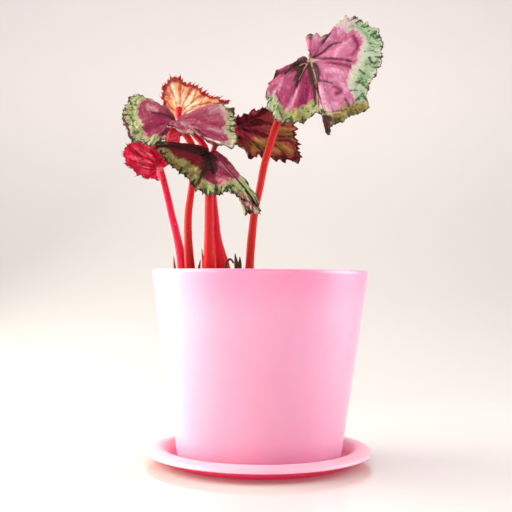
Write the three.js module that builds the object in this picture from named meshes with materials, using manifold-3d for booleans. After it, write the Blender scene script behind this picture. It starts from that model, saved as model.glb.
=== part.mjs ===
// A potted begonia: six leaves on long stalks from one creeping rhizome, in a plain tapered
// pot of soil that stands on a round saucer. Millimetres, +Z up, with the origin at the middle
// of the saucer's underside. The leaves lean out towards -Y and -X.
import * as THREE from 'three';
import { mergeVertices } from 'three/addons/utils/BufferGeometryUtils.js';
import Module from 'manifold-3d';

const wasm = await Module();
wasm.setup();

// Driving dimensions of the pot and its saucer
const POT_RIM_R = 70;
const POT_FOOT_R = 52.5;
const POT_TOP = 122.5;
const POT_WALL = 2.5;
const POT_RECESS = 2;
const FOOT_RING = 5.5;
const DRAIN_R = 6;
const SAUCER_R = 72.5;
const SAUCER_BASE_R = 58.5;
const SAUCER_CREST_R = 64;
const SAUCER_CREST = 9.8;
const SAUCER_FLOOR = 2;
const SAUCER_WALL = 2.2;
const ROUND_SIDES = 48;

// Driving dimensions of the soil and the plant
const SOIL_TOP = 110;
const SOIL_SIDES = 36;
const RHIZOME_R = 5.6;
const BLADE_THICK = 0.8;
const BLADE_ROWS = 4;
const TOOTH = 0.045;
const STALK_SIDES = 10;
const STALK_STEPS = 16;
const SHOOT_SIDES = 8;
const SPIKE_SIDES = 6;
const GAP = 0.3;

const SOIL_FLOOR = SAUCER_FLOOR + POT_RECESS + POT_WALL;
const POT_SLOPE = (POT_RIM_R - POT_FOOT_R) / (POT_TOP - SAUCER_FLOOR);

const plant = new THREE.Group();

function add(name, geometry, colour, roughness) {
  const material = new THREE.MeshStandardMaterial({ color: colour, roughness, metalness: 0 });
  const mesh = new THREE.Mesh(geometry, material);
  mesh.name = name;
  plant.add(mesh);
}

// Joining and cutting closed solids

function solidOf(geometry) {
  const bare = geometry.clone();
  bare.deleteAttribute('normal');
  bare.deleteAttribute('uv');
  const welded = mergeVertices(bare, 1e-5);
  return new wasm.Manifold(new wasm.Mesh({
    numProp: 3,
    vertProperties: new Float32Array(welded.attributes.position.array),
    triVerts: new Uint32Array(welded.index.array),
  }));
}

function geometryOf(solid) {
  const mesh = solid.getMesh();
  const geometry = new THREE.BufferGeometry();
  geometry.setAttribute('position', new THREE.BufferAttribute(mesh.vertProperties, 3));
  geometry.setIndex(new THREE.BufferAttribute(mesh.triVerts, 1));
  return geometry;
}

function joined(geometries) {
  return geometries.map(solidOf).reduce((whole, piece) => whole.add(piece));
}

// Round ware: a profile of [radius, height] points turned about the Z axis

function turned(profile, sides) {
  const points = profile.map(([radius, height]) => new THREE.Vector2(radius, height));
  return new THREE.LatheGeometry(points, sides).rotateX(Math.PI / 2);
}

function potOutside(height) {
  return POT_FOOT_R + POT_SLOPE * (height - SAUCER_FLOOR);
}

// The saucer is a flat dish whose rim rolls over and down to a thin edge.
function saucer() {
  const inner = SAUCER_BASE_R - SAUCER_WALL;
  const profile = [
    [0, 0],
    [SAUCER_BASE_R, 0],
    [SAUCER_BASE_R + 1.2, 0.8],
    [SAUCER_CREST_R - 1.8, 5.8],
    [SAUCER_CREST_R + 0.6, SAUCER_CREST - SAUCER_WALL],
    [SAUCER_R - 2.2, 6.3],
    [SAUCER_R - 0.6, 5.6],
    [SAUCER_R, 6.2],
    [SAUCER_R - 0.3, 7.3],
    [SAUCER_R - 1.6, 8.3],
    [SAUCER_CREST_R + 3.4, 9.5],
    [SAUCER_CREST_R, SAUCER_CREST],
    [SAUCER_CREST_R - 2.4, 9.1],
    [SAUCER_CREST_R - 4.2, 7.2],
    [inner + 1, SAUCER_FLOOR + 0.6],
    [inner - 0.4, SAUCER_FLOOR],
    [0, SAUCER_FLOOR],
  ];
  return turned(profile, ROUND_SIDES);
}

// The pot tapers evenly from its rim to a low foot ring, and drains through one hole.
function pot() {
  const underside = SAUCER_FLOOR + POT_RECESS;
  const inside = (height) => potOutside(height) - POT_WALL;
  const profile = [
    [DRAIN_R, underside],
    [POT_FOOT_R - FOOT_RING - 0.8, underside],
    [POT_FOOT_R - FOOT_RING, SAUCER_FLOOR],
    [POT_FOOT_R - 0.8, SAUCER_FLOOR],
    [potOutside(SAUCER_FLOOR + 0.8), SAUCER_FLOOR + 0.8],
    [potOutside(POT_TOP - 1.2), POT_TOP - 1.2],
    [POT_RIM_R - 0.5, POT_TOP - 0.3],
    [POT_RIM_R - POT_WALL / 2, POT_TOP],
    [POT_RIM_R - POT_WALL + 0.2, POT_TOP - 0.3],
    [inside(POT_TOP - 1.2), POT_TOP - 1.2],
    [inside(SOIL_FLOOR + 1), SOIL_FLOOR + 1],
    [inside(SOIL_FLOOR) - 1, SOIL_FLOOR],
    [DRAIN_R, SOIL_FLOOR],
    [DRAIN_R, underside],
  ];
  return turned(profile, ROUND_SIDES);
}

// The soil fills the pot to a little below its rim, and its top is crumbly.
function soil(holes) {
  const edge = (height) => potOutside(height) - POT_WALL - GAP;
  const shoulder = SOIL_TOP - 2;
  const profile = [
    [0, SOIL_FLOOR],
    [edge(SOIL_FLOOR) - 1.2, SOIL_FLOOR],
    [edge(SOIL_FLOOR + 1), SOIL_FLOOR + 1],
    [edge(shoulder), shoulder],
  ];
  const rings = 7;
  for (let ring = rings; ring >= 0; ring -= 1) {
    profile.push([(edge(shoulder) - 3) * ring / rings, SOIL_TOP]);
  }
  const geometry = turned(profile, SOIL_SIDES);
  const place = geometry.attributes.position;
  for (let i = 0; i < place.count; i += 1) {
    const [x, y, z] = [place.getX(i), place.getY(i), place.getZ(i)];
    if (z > shoulder + 1) {
      const lumps = 0.9 * Math.sin(x / 5.1 + 1) * Math.cos(y / 4.3) + 0.6 * Math.sin(x / 2.7 - y / 3.9);
      place.setZ(i, z + lumps);
    }
  }
  return geometryOf(solidOf(geometry).subtract(holes));
}

// Round stems: a ring of points swept along a smooth line, with its own thickness at each point
// of the line. Each point is [x, y, z, radius].

function stem(points, sides, steps, grow = 0) {
  const line = new THREE.CatmullRomCurve3(points.map(([x, y, z]) => new THREE.Vector3(x, y, z)));
  line.curveType = 'catmullrom';
  const frames = line.computeFrenetFrames(steps, false);
  const place = [];
  for (let step = 0; step <= steps; step += 1) {
    const along = line.getUtoTmapping(step / steps);
    const centre = line.getPoint(along);
    const at = along * (points.length - 1);
    const low = Math.min(Math.floor(at), points.length - 2);
    const radius = THREE.MathUtils.lerp(points[low][3], points[low + 1][3], at - low) + grow;
    for (let side = 0; side < sides; side += 1) {
      const angle = 2 * Math.PI * side / sides;
      const spoke = frames.normals[step].clone().multiplyScalar(Math.cos(angle) * radius);
      spoke.addScaledVector(frames.binormals[step], Math.sin(angle) * radius);
      place.push(...centre.clone().add(spoke).toArray());
    }
  }
  const first = place.length / 3;
  place.push(...line.getPoint(0).addScaledVector(frames.tangents[0], -grow).toArray());
  place.push(...line.getPoint(1).addScaledVector(frames.tangents[steps], grow).toArray());
  const faces = [];
  const corner = (step, side) => step * sides + side % sides;
  for (let side = 0; side < sides; side += 1) {
    for (let step = 0; step < steps; step += 1) {
      const [a, b] = [corner(step, side), corner(step, side + 1)];
      const [c, d] = [corner(step + 1, side + 1), corner(step + 1, side)];
      faces.push(a, b, c, a, c, d);
    }
    faces.push(first, corner(0, side + 1), corner(0, side));
    faces.push(first + 1, corner(steps, side), corner(steps, side + 1));
  }
  const geometry = new THREE.BufferGeometry();
  geometry.setAttribute('position', new THREE.Float32BufferAttribute(place, 3));
  geometry.setIndex(faces);
  return geometry;
}

// The rhizome creeps along the soil, knobbly and half sunk, with pointed stipules on it.
const RHIZOME_LINE = [
  [-55, 4, 108.5, 3.4],
  [-50, 3, 110.5, RHIZOME_R],
  [-45, 1, 111, RHIZOME_R - 0.9],
  [-40, 0, 111, RHIZOME_R - 0.2],
  [-34, 0, 111, RHIZOME_R + 0.2],
  [-29, 2, 111, RHIZOME_R - 0.8],
  [-23, 4, 111, RHIZOME_R + 0.3],
  [-16, 5, 111, RHIZOME_R - 1],
  [-9, 5, 111, RHIZOME_R],
  [-3, 6, 110.5, RHIZOME_R - 0.6],
  [3, 7, 109, 3],
];
const STIPULES = [
  [[-54, 2, 111, 1.5], [-55.6, 2.6, 121, 1.1], [-56.8, 3, 131, 0.35]],
  [[-40, 0, 111, 2], [-40.2, 0, 120, 1.4], [-39, 0, 129, 0.35]],
  [[-36, -3, 112, 1.6], [-36.6, -3.6, 124, 1.2], [-38, -4, 136, 0.35]],
  [[-12, 4, 112, 1.8], [-12.4, 3, 118, 1.4], [-11, 2, 124, 0.35]],
];

function rhizome(grow) {
  const creeping = stem(RHIZOME_LINE, 12, 22, grow);
  const spikes = STIPULES.map((line) => stem(line, SPIKE_SIDES, 5, grow));
  return joined([creeping, ...spikes]);
}

// Leaves. Each stalk runs from the rhizome to the hub of its leaf. The rim runs anticlockwise as
// seen from the upper face, from one side of the notch at the stalk round to the other, and the
// blade is spanned by rays from the hub to the rim. It bulges by arch between hub and rim, and
// by puff between two main veins, which end at the rim points that veins counts. The rim is
// toothed, and waves by wave. Each stretch between two rim points is split into that many rays.
const LEAVES = {
  upper_right: {
    stalk: [
      [-7, 5, 113, 2.9], [-7, 5, 126, 2.6], [-6, 4, 142, 2.6], [-4, 3, 161, 2.4], [-1, 3, 175, 2.3],
      [2, 3, 191, 2.4], [6, 3, 205, 2.4], [10, 3, 218, 2.4], [19, 3, 238, 2.2], [27, -1, 252, 2.1],
      [29, -5, 257, 1.9],
    ],
    hub: [29, -6, 257],
    rim: [
      [25, -8, 258], [17, -10, 252], [9, -11, 249], [3, -12, 239], [4, -13, 230], [9, -16, 218],
      [18, -18, 216], [26, -19, 218], [34, -22, 218], [41, -26, 208], [45, -24, 217],
      [55, -22, 223], [67, -18, 227], [68, -15, 237], [75, -12, 252], [78, -10, 261],
      [77, -5, 273], [69, 1, 284], [56, 5, 290], [49, 3, 281], [39, 1, 277], [32, -1, 274],
      [31, -4, 265],
    ],
    veins: [0, 2, 5, 9, 12, 15, 18, 22],
    arch: 5,
    puff: 2,
    wave: 1,
    split: 3,
    colour: 0x9c6f78,
  },
  middle: {
    stalk: [
      [-29, 8, 112, 2.4], [-28.5, 13, 128, 2.1], [-30, 16, 142, 2], [-32, 17, 159, 1.9],
      [-32, 18, 176, 1.9], [-33, 18, 189, 1.8], [-32, 18, 203, 1.8], [-26, 16, 213, 1.8],
      [-19.5, 17.5, 218.5, 1.7], [-17, 20, 219, 1.6],
    ],
    hub: [-17, 21, 219],
    rim: [
      [-20, 19, 224], [-14, 21, 229], [-7, 24, 230], [1, 28, 235], [11, 30, 237], [19, 30, 232],
      [24, 28, 222], [25, 25, 212], [27, 20, 197], [19, 19, 195], [10, 18, 196], [-1, 17, 198],
      [-7, 16, 197], [-12, 17, 204], [-17, 18, 207], [-20, 19, 213],
    ],
    veins: [0, 3, 6, 8, 11, 15],
    arch: 4,
    puff: 2,
    wave: 1,
    split: 4,
    colour: 0x7c4a3a,
  },
  lower_left: {
    stalk: [
      [-51.5, 4, 113, 2.7], [-51.5, 4.5, 124, 2.7], [-55, 5, 142, 2.3], [-59, 5, 158, 2.2],
      [-63, 2, 175, 2.1], [-65, -1.4, 184, 2], [-66, 2.6, 189, 1.7],
    ],
    hub: [-66, 4, 189],
    rim: [
      [-64, 3, 184], [-73, 1, 182], [-80, 1, 185], [-87, 2, 190], [-91, 4, 199], [-87, 7, 207],
      [-80, 9, 211], [-73, 10, 213], [-67, 9, 209], [-63, 8, 201], [-61, 6, 194],
    ],
    veins: [0, 2, 4, 6, 8, 10],
    arch: 2.5,
    puff: 1.4,
    wave: 0.6,
    split: 4,
    colour: 0x9a2238,
  },
  saddle: {
    stalk: [
      [-44.5, -1, 113, 3.1], [-46, -1.5, 126, 3.1], [-47, -2, 142, 2.6], [-47, -3, 158, 2.4],
      [-45, -4, 174, 2.2], [-43, -4, 191, 2.2], [-45, -4, 203, 2.2], [-50, -5, 211.5, 2.1],
      [-55.5, -6, 215.8, 1.9],
    ],
    hub: [-56, -6, 217],
    rim: [
      [-51, -12, 211], [-43, -17, 208], [-35, -21, 205], [-28, -24, 201], [-19, -26, 200],
      [-15, -22, 203], [-16, -14, 212], [-16, -6, 221], [-19, 0, 227], [-27, 5, 232],
      [-36, 7, 229], [-45, 7, 224], [-50, 9, 214], [-58, 11, 205], [-63, 8, 212], [-62, 6, 226],
      [-70, 6, 232], [-77, 5, 235], [-85, 3, 238], [-89, -2, 228], [-90, -6, 220],
      [-85, -12, 211], [-83, -16, 205], [-75, -19, 202], [-69, -20, 201], [-62, -18, 205],
      [-64, -14, 209], [-60, -10, 214],
    ],
    veins: [0, 3, 6, 9, 13, 17, 20, 24, 27],
    arch: 2,
    puff: 1.8,
    wave: 0.8,
    split: 3,
    colour: 0x8d5f78,
  },
  front: {
    stalk: [
      [-33, -3, 113, 3.3], [-33, -7, 127, 3.2], [-33, -9, 142, 3], [-33, -11, 158, 2.9],
      [-33, -13, 174, 2.7], [-33, -15.5, 187, 2.5], [-33, -18.9, 194, 2],
    ],
    hub: [-33, -20, 195],
    rim: [
      [-36, -16, 200], [-44, -17, 200], [-55, -21, 201], [-65, -25, 203], [-70, -27, 202],
      [-65, -28, 196], [-59, -29, 190], [-53, -30, 186], [-46, -33, 182], [-40, -35, 174],
      [-34, -36, 170], [-27, -37, 167], [-22, -37, 170], [-15, -36, 167], [-7, -34, 163],
      [-2, -32, 158], [-4, -29, 167], [-8, -25, 176], [-16, -21, 184], [-26, -17, 193],
      [-30, -16, 198],
    ],
    veins: [0, 4, 7, 11, 15, 18, 20],
    arch: 2.5,
    puff: 1.8,
    wave: 0.8,
    split: 3,
    colour: 0x6b4a45,
  },
  upright: {
    stalk: [
      [-22.5, 3, 113, 3.3], [-24.5, 3.5, 126, 3.2], [-28, 4, 142, 2.5], [-30, 5, 159, 2.3],
      [-32, 7, 175, 2.2], [-35, 10, 192, 2.2], [-38, 13, 205, 2.2], [-47, 16, 217, 2.1],
      [-53, 14, 226, 2], [-55, 18.6, 231.5, 1.7],
    ],
    hub: [-55, 20, 232],
    rim: [
      [-58, 19, 226], [-64, 19, 230], [-67, 20, 238], [-67, 21, 246], [-62, 22, 252],
      [-56, 23, 254], [-54, 23, 250], [-48, 24, 249], [-42, 25, 246], [-37, 25, 242],
      [-31, 25, 240], [-22, 26, 238], [-28, 24, 234], [-38, 22, 230], [-46, 20, 226],
      [-52, 19, 225],
    ],
    veins: [0, 2, 5, 8, 11, 15],
    arch: 2.5,
    puff: 1.4,
    wave: 0.8,
    split: 4,
    colour: 0xd98a4a,
  },
};

// How far a point between two main veins has gone, as a hump that is 0 on the veins
function pleat(at, veins) {
  const next = veins.findIndex((vein) => vein >= at);
  if (next < 1) {
    return 0;
  }
  const share = (at - veins[next - 1]) / (veins[next] - veins[next - 1]);
  return Math.sin(Math.PI * share);
}

// A blade's middle surface, as rows of points from the hub outwards
function bladeRows(leaf) {
  const hub = new THREE.Vector3(...leaf.hub);
  const rim = new THREE.CatmullRomCurve3(leaf.rim.map((point) => new THREE.Vector3(...point)));
  rim.curveType = 'catmullrom';
  const last = leaf.rim.length - 1;
  const columns = last * leaf.split;
  const rays = [];
  for (let column = 0; column <= columns; column += 1) {
    rays.push(rim.getPoint(column / columns).sub(hub));
  }
  const up = new THREE.Vector3();
  for (let column = 0; column < columns; column += 1) {
    up.add(rays[column].clone().cross(rays[column + 1]));
  }
  up.normalize();
  const rows = [];
  for (let row = 1; row <= BLADE_ROWS; row += 1) {
    const out = row / BLADE_ROWS;
    rows.push(rays.map((ray, column) => {
      const tooth = row === BLADE_ROWS && column % 2 === 0 ? 1 - TOOTH : 1;
      const hump = leaf.puff * pleat(column / leaf.split, leaf.veins) * Math.sin(Math.PI * out);
      const ripple = leaf.wave * Math.sin(4 * Math.PI * column / leaf.split / 3) * out ** 3;
      const lift = leaf.arch * 4 * out * (1 - out) + hump + ripple;
      return hub.clone().addScaledVector(ray, out * tooth).addScaledVector(up, lift);
    }));
  }
  return { hub, rows, columns };
}

// The faces of one side of the blade, and the line round it, as numbers of its points
function bladeFaces(columns) {
  const corner = (row, column) => 1 + (row - 1) * (columns + 1) + column;
  const faces = [];
  for (let column = 0; column < columns; column += 1) {
    faces.push([0, corner(1, column), corner(1, column + 1)]);
    for (let row = 1; row < BLADE_ROWS; row += 1) {
      const [a, b] = [corner(row, column), corner(row + 1, column)];
      const [c, d] = [corner(row + 1, column + 1), corner(row, column + 1)];
      faces.push([a, b, c], [a, c, d]);
    }
  }
  const round = [0];
  for (let row = 1; row < BLADE_ROWS; row += 1) {
    round.push(corner(row, 0));
  }
  for (let column = 0; column <= columns; column += 1) {
    round.push(corner(BLADE_ROWS, column));
  }
  for (let row = BLADE_ROWS - 1; row >= 1; row -= 1) {
    round.push(corner(row, columns));
  }
  return { faces, round };
}

// The blade as a closed solid: both sides alike, half the thickness off the middle surface
function blade(leaf, thick) {
  const { hub, rows, columns } = bladeRows(leaf);
  const { faces, round } = bladeFaces(columns);
  const middle = new THREE.BufferGeometry();
  middle.setFromPoints([hub, ...rows.flat()]);
  middle.setIndex(faces.flat());
  middle.computeVertexNormals();
  const count = middle.attributes.position.count;
  const place = [];
  for (const side of [0.5, -0.5]) {
    for (let i = 0; i < count; i += 1) {
      const point = new THREE.Vector3().fromBufferAttribute(middle.attributes.position, i);
      const normal = new THREE.Vector3().fromBufferAttribute(middle.attributes.normal, i);
      place.push(...point.addScaledVector(normal, side * thick).toArray());
    }
  }
  const all = faces.flat();
  for (const [a, b, c] of faces) {
    all.push(a + count, c + count, b + count);
  }
  round.forEach((a, i) => {
    const b = round[(i + 1) % round.length];
    all.push(a + count, b + count, b, a + count, b, a);
  });
  const geometry = new THREE.BufferGeometry();
  geometry.setAttribute('position', new THREE.Float32BufferAttribute(place, 3));
  geometry.setIndex(all);
  return geometry;
}

// A withered shoot with two points, and the hook of a dried stalk, both standing in the soil
const DRIED_SHOOT = [
  [[-15, -7, 104, 2.2], [-15, -7, 116, 2], [-15.6, -7, 126, 1.3], [-16.4, -7, 133, 0.35]],
  [[-14.2, -7.7, 106, 1.7], [-14, -7.6, 118, 1.5], [-13.4, -7.5, 126, 1.1], [-13.2, -7.6, 131, 0.35]],
];
const DRIED_STALK = [
  [-24, -9, 103, 0.9], [-23.4, -9, 115, 0.9], [-22, -9, 125, 0.8], [-20.4, -9, 129, 0.7],
  [-18.4, -9, 128.6, 0.6], [-17.2, -9.2, 126.6, 0.5],
];

// The object put together
add('saucer', saucer(), 0xf5c3d9, 0.5);
add('pot', pot(), 0xf09abf, 0.5);

const rootbed = rhizome(GAP);
add('rhizome', geometryOf(rhizome(0)), 0x8a4a36, 0.8);

let holes = rootbed;
for (const [place, leaf] of Object.entries(LEAVES)) {
  const seat = solidOf(blade(leaf, BLADE_THICK + 2 * GAP));
  const cut = solidOf(stem(leaf.stalk, STALK_SIDES, STALK_STEPS)).subtract(rootbed).subtract(seat);
  add(`stalk_${place}`, geometryOf(cut), 0xc8452f, 0.6);
  add(`leaf_${place}`, blade(leaf, BLADE_THICK), leaf.colour, 0.6);
  holes = holes.add(solidOf(stem(leaf.stalk, STALK_SIDES, STALK_STEPS, GAP)));
}
add('dried_shoot', geometryOf(joined(DRIED_SHOOT.map((line) => stem(line, SHOOT_SIDES, 8)))), 0x5a4a2c, 0.9);
add('dried_stalk', stem(DRIED_STALK, SPIKE_SIDES, 12), 0x4a3524, 0.9);
holes = holes.add(joined(DRIED_SHOOT.map((line) => stem(line, SHOOT_SIDES, 8, GAP))));
holes = holes.add(solidOf(stem(DRIED_STALK, SPIKE_SIDES, 12, GAP)));
add('soil', soil(holes), 0x3c2a20, 0.95);

export default plant;
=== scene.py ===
import math
from types import SimpleNamespace

import bmesh
import bpy
import numpy as np
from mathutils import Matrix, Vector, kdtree, noise


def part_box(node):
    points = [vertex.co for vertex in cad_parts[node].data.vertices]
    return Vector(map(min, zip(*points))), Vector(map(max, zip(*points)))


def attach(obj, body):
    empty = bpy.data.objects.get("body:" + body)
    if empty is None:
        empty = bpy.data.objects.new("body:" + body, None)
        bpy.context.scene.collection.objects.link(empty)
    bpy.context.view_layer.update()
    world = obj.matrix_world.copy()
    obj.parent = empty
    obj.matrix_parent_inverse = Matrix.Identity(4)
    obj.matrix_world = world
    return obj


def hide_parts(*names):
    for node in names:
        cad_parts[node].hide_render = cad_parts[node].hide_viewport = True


# A potted begonia in the order in which it is put together: saucer, pot, soil, rhizome, stalks,
# leaves, withered shoots, and then the floor, the lights and the camera. Sizes and lists of
# points are in millimetres, as in the part's own drawing, and MM turns them into metres. Only
# what a finish measures, and the floor and the lights, are in metres from the start.
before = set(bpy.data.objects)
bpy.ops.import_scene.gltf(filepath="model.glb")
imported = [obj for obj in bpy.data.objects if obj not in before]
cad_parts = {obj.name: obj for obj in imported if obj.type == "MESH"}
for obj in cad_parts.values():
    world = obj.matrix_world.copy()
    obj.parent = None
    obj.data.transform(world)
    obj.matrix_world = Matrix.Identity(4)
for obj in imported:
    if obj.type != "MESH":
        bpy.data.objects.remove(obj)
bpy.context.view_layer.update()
MM = 0.001

# Saucer
# A shallow dish of pale pink plastic, pressed from sheet, so its wall is equally thick all
# over and its rim is rolled outward and down. The pot stands on its flat floor.
SAUCER_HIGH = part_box("saucer")[1]
SAUCER_R = SAUCER_HIGH.x / MM
SAUCER_CREST = SAUCER_HIGH.z / MM
SAUCER_CREST_R = SAUCER_R - 8.5
SAUCER_BASE_R = SAUCER_R - 14
SAUCER_FLOOR = 2
SAUCER_WALL = 2.2
ROUND_SIDES = 160
STUDIO_LIGHT = 1.35
LOW_SHADE_FADE = (0.001, 0.0065)
HIGH_FADE = (0.092, 0.12)


class Value:
    """A number or colour that changes over a surface: one output socket of a finish's nodes."""

    def __init__(self, finish, socket):
        self.finish = finish
        self.socket = socket

    def maths(self, operation, *terms):
        sockets = dict(enumerate(terms))
        return self.finish.node("ShaderNodeMath", {"operation": operation}, sockets)

    def __add__(self, other):
        return self.maths("ADD", self, other)

    def __sub__(self, other):
        return self.maths("SUBTRACT", self, other)

    def __rsub__(self, other):
        return self.maths("SUBTRACT", other, self)

    def __mul__(self, other):
        return self.maths("MULTIPLY", self, other)

    def __truediv__(self, other):
        return self.maths("DIVIDE", self, other)

    __radd__ = __add__
    __rmul__ = __mul__

    def rise(self, low, high):
        """0 below low, 1 above high, and a smooth step between them."""
        settings = {"interpolation_type": "SMOOTHSTEP"}
        return self.finish.node("ShaderNodeMapRange", settings, {0: self, 1: low, 2: high})

    def fall(self, low, high):
        return 1 - self.rise(low, high)


class Finish:
    """A node material. Plain numbers are set on its Principled shader's own sockets."""

    def __init__(self, name, numbers):
        self.material = bpy.data.materials.new(name)
        self.material.use_nodes = True
        self.tree = self.material.node_tree
        self.shader = self.tree.nodes["Principled BSDF"]
        for socket, number in numbers.items():
            self.shader.inputs[socket].default_value = number

    def node(self, kind, settings, sockets, output=0):
        """Adds a node: its settings first, then the values or links of its sockets."""
        made = self.tree.nodes.new(kind)
        for name, setting in settings.items():
            setattr(made, name, setting)
        for name, given in sockets.items():
            socket = made.inputs[name]
            if isinstance(given, Value):
                self.tree.links.new(given.socket, socket)
            else:
                socket.default_value = given
        return Value(self, made.outputs[output])

    def mix(self, share, first, second):
        """The colour first where share is 0, and second where it is 1."""
        return self.node("ShaderNodeMix", {"data_type": "RGBA"}, {0: share, 6: first, 7: second}, 2)

    def scaled(self, place, x, y, z):
        """A place with each of its axes multiplied."""
        settings = {"operation": "MULTIPLY"}
        return self.node("ShaderNodeVectorMath", settings, {0: place, 1: (x, y, z)})

    def place(self):
        return self.node("ShaderNodeTexCoord", {}, {}, "Object")

    def part(self, vector, axis):
        return self.node("ShaderNodeSeparateXYZ", {}, {0: vector}, axis)

    def height(self):
        return self.part(self.place(), 2)

    def speckle(self, place, scale, detail=3.0, rough=0.5):
        """Cloudy noise from 0 to 1 round a mean of a half."""
        sockets = {"Vector": place, "Scale": scale, "Detail": detail, "Roughness": rough}
        return self.node("ShaderNodeTexNoise", {}, sockets)

    def feed(self, socket, value):
        self.tree.links.new(value.socket, self.shader.inputs[socket])

    def bump(self, height, strength, distance):
        sockets = {"Height": height, "Strength": strength, "Distance": distance}
        self.feed("Normal", self.node("ShaderNodeBump", {}, sockets))


def paint(red, green, blue):
    """The colour of a surface that looks like this, from 0 to 255, where the studio lights it."""
    parts = [((part / 255 + 0.055) / 1.055) ** 2.4 / STUDIO_LIGHT for part in (red, green, blue)]
    return (*parts, 1.0)


def tints(shades):
    """Named colours, each as paint gives it."""
    return SimpleNamespace(**{name: paint(*shade) for name, shade in shades.items()})


def plastic(name, skin, glow, coat, lit, **shades):
    """Satin plastic that lets light through, to a depth of glow in metres.

    It has a plain and a worn colour, one high up, and one deep down that is painted shade, between the
    heights in metres of the two fades. The one below, on faces turned down, is painted shade too, and
    it also feeds a painted glow as strong as lit.
    """
    numbers = {
        "IOR": 1.5,
        "Specular IOR Level": 0.9,
        "Subsurface Weight": 0.8,
        "Subsurface Radius": (1.0, 0.16, 0.3),
        "Subsurface Scale": glow,
        "Sheen Weight": 0.3 * coat,
        "Sheen Roughness": 0.4,
        "Coat Weight": coat,
        "Coat Roughness": 0.35,
        "Emission Strength": lit,
    }
    finish = Finish(name, numbers)
    tint = tints(shades)
    cloud = finish.speckle(finish.place(), 14, 4)
    grain = finish.speckle(finish.place(), 900, 2)
    facing = finish.node("ShaderNodeTexCoord", {}, {}, "Normal")
    # Faces turned down get the below colour as painted shade, and the same colour as a painted glow.
    down = finish.part(facing, 2).fall(-0.6, -0.3)
    shade = finish.mix(cloud.rise(0.35, 0.7), tint.plain, tint.worn)
    shade = finish.mix(finish.height().rise(*HIGH_FADE), shade, tint.high)
    # Low down, near the saucer's floor and the pot's foot, the deep colour is painted shade.
    shade = finish.mix(finish.height().fall(*LOW_SHADE_FADE), shade, tint.deep)
    finish.feed("Base Color", finish.mix(down, shade, tint.below))
    finish.feed("Emission Color", finish.mix(down, (0, 0, 0, 1), tint.below))
    finish.feed("Roughness", skin + 0.12 * cloud + 0.06 * grain)
    finish.bump(grain, 0.12, 0.0002)
    return finish.material


def shaded(name, points, faces, materials, kinds=None):
    """A smooth-shaded mesh in the scene. kinds tells which of its materials each face has."""
    mesh = bpy.data.meshes.new(name)
    mesh.from_pydata(np.asarray(points).tolist(), [], faces)
    for material in materials:
        mesh.materials.append(material)
    mesh.polygons.foreach_set("use_smooth", [True] * len(mesh.polygons))
    if kinds is not None:
        mesh.polygons.foreach_set("material_index", kinds)
    mesh.update()
    made = bpy.data.objects.new(name, mesh)
    bpy.context.scene.collection.objects.link(made)
    return made


def piece(name, points, faces, materials, kinds=None):
    """A mesh that rides on the object."""
    made = shaded(name, points, faces, materials, kinds)
    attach(made, "root")
    return made


def rounded(corners, radius, steps=5):
    """A closed outline with each corner turned by a short curve that starts radius before it."""
    corners = [np.array(corner, float) for corner in corners]
    line = []
    for i, corner in enumerate(corners):
        before = corners[i - 1] - corner
        after = corners[(i + 1) % len(corners)] - corner
        if corner[0] < 1e-6:
            line.append(corner)
            continue
        reach = min(radius, np.linalg.norm(before) * 0.45, np.linalg.norm(after) * 0.45)
        start = corner + before / np.linalg.norm(before) * reach
        end = corner + after / np.linalg.norm(after) * reach
        for t in np.linspace(0, 1, steps):
            line.append((1 - t) ** 2 * start + 2 * t * (1 - t) * corner + t**2 * end)
    return line


def circle(radius, height, sides):
    """Points round the Z axis."""
    angles = [2 * math.pi * side / sides for side in range(sides)]
    return [(radius * math.cos(angle), radius * math.sin(angle), height) for angle in angles]


def turned(name, outline, sides, material):
    """Round ware: an outline of [radius, height] points, closed on itself, turned about Z."""
    outline = [np.array(point) * MM for point in outline]
    points, faces = [], []
    for radius, height in outline:
        points += circle(radius, height, sides)
    count = len(outline)
    for ring in range(count):
        here, there = ring * sides, (ring + 1) % count * sides
        if outline[ring][0] < 1e-9 and outline[(ring + 1) % count][0] < 1e-9:
            continue
        for side in range(sides):
            after = (side + 1) % sides
            faces.append((here + side, here + after, there + after, there + side))
    made = piece(name, points, faces, [material])
    weld(made)
    return made


def weld(made):
    """Joins points that lie on each other, and drops the faces that this flattens."""
    shape = bmesh.new()
    shape.from_mesh(made.data)
    bmesh.ops.remove_doubles(shape, verts=shape.verts, dist=1e-7)
    bmesh.ops.dissolve_degenerate(shape, edges=shape.edges, dist=1e-7)
    shape.to_mesh(made.data)
    shape.free()


saucer_inner = SAUCER_BASE_R - SAUCER_WALL
saucer_outline = rounded(
    [
        (0, 0),
        (SAUCER_BASE_R, 0),
        (SAUCER_BASE_R + 1.4, 0.8),
        (SAUCER_CREST_R - 1.8, 5.8),
        (SAUCER_CREST_R + 0.6, SAUCER_CREST - SAUCER_WALL),
        (SAUCER_R - 2.2, 6.3),
        (SAUCER_R - 0.7, 5.6),
        (SAUCER_R, 6.1),
        (SAUCER_R - 0.3, 7.3),
        (SAUCER_R - 1.6, 8.3),
        (SAUCER_CREST_R + 3.4, 9.5),
        (SAUCER_CREST_R, SAUCER_CREST),
        (SAUCER_CREST_R - 2.4, 9.1),
        (SAUCER_CREST_R - 4.2, 7.2),
        (saucer_inner + 1, SAUCER_FLOOR + 0.6),
        (saucer_inner - 0.6, SAUCER_FLOOR),
        (0, SAUCER_FLOOR),
    ],
    radius=1.2,
)
# Its deep colour low down and its below colour are painted shade, and lit gives the faces turned down a
# painted glow.
saucer_pink = plastic(
    "saucer_pink", skin=0.4, glow=0.008, coat=0.1, lit=0.5,
    plain=(246, 186, 206), worn=(245, 178, 200), deep=(252, 60, 156), high=(246, 186, 206),
    below=(200, 2, 48),
)
saucer = turned("saucer_shell", saucer_outline, ROUND_SIDES, saucer_pink)
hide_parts("saucer")

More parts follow.
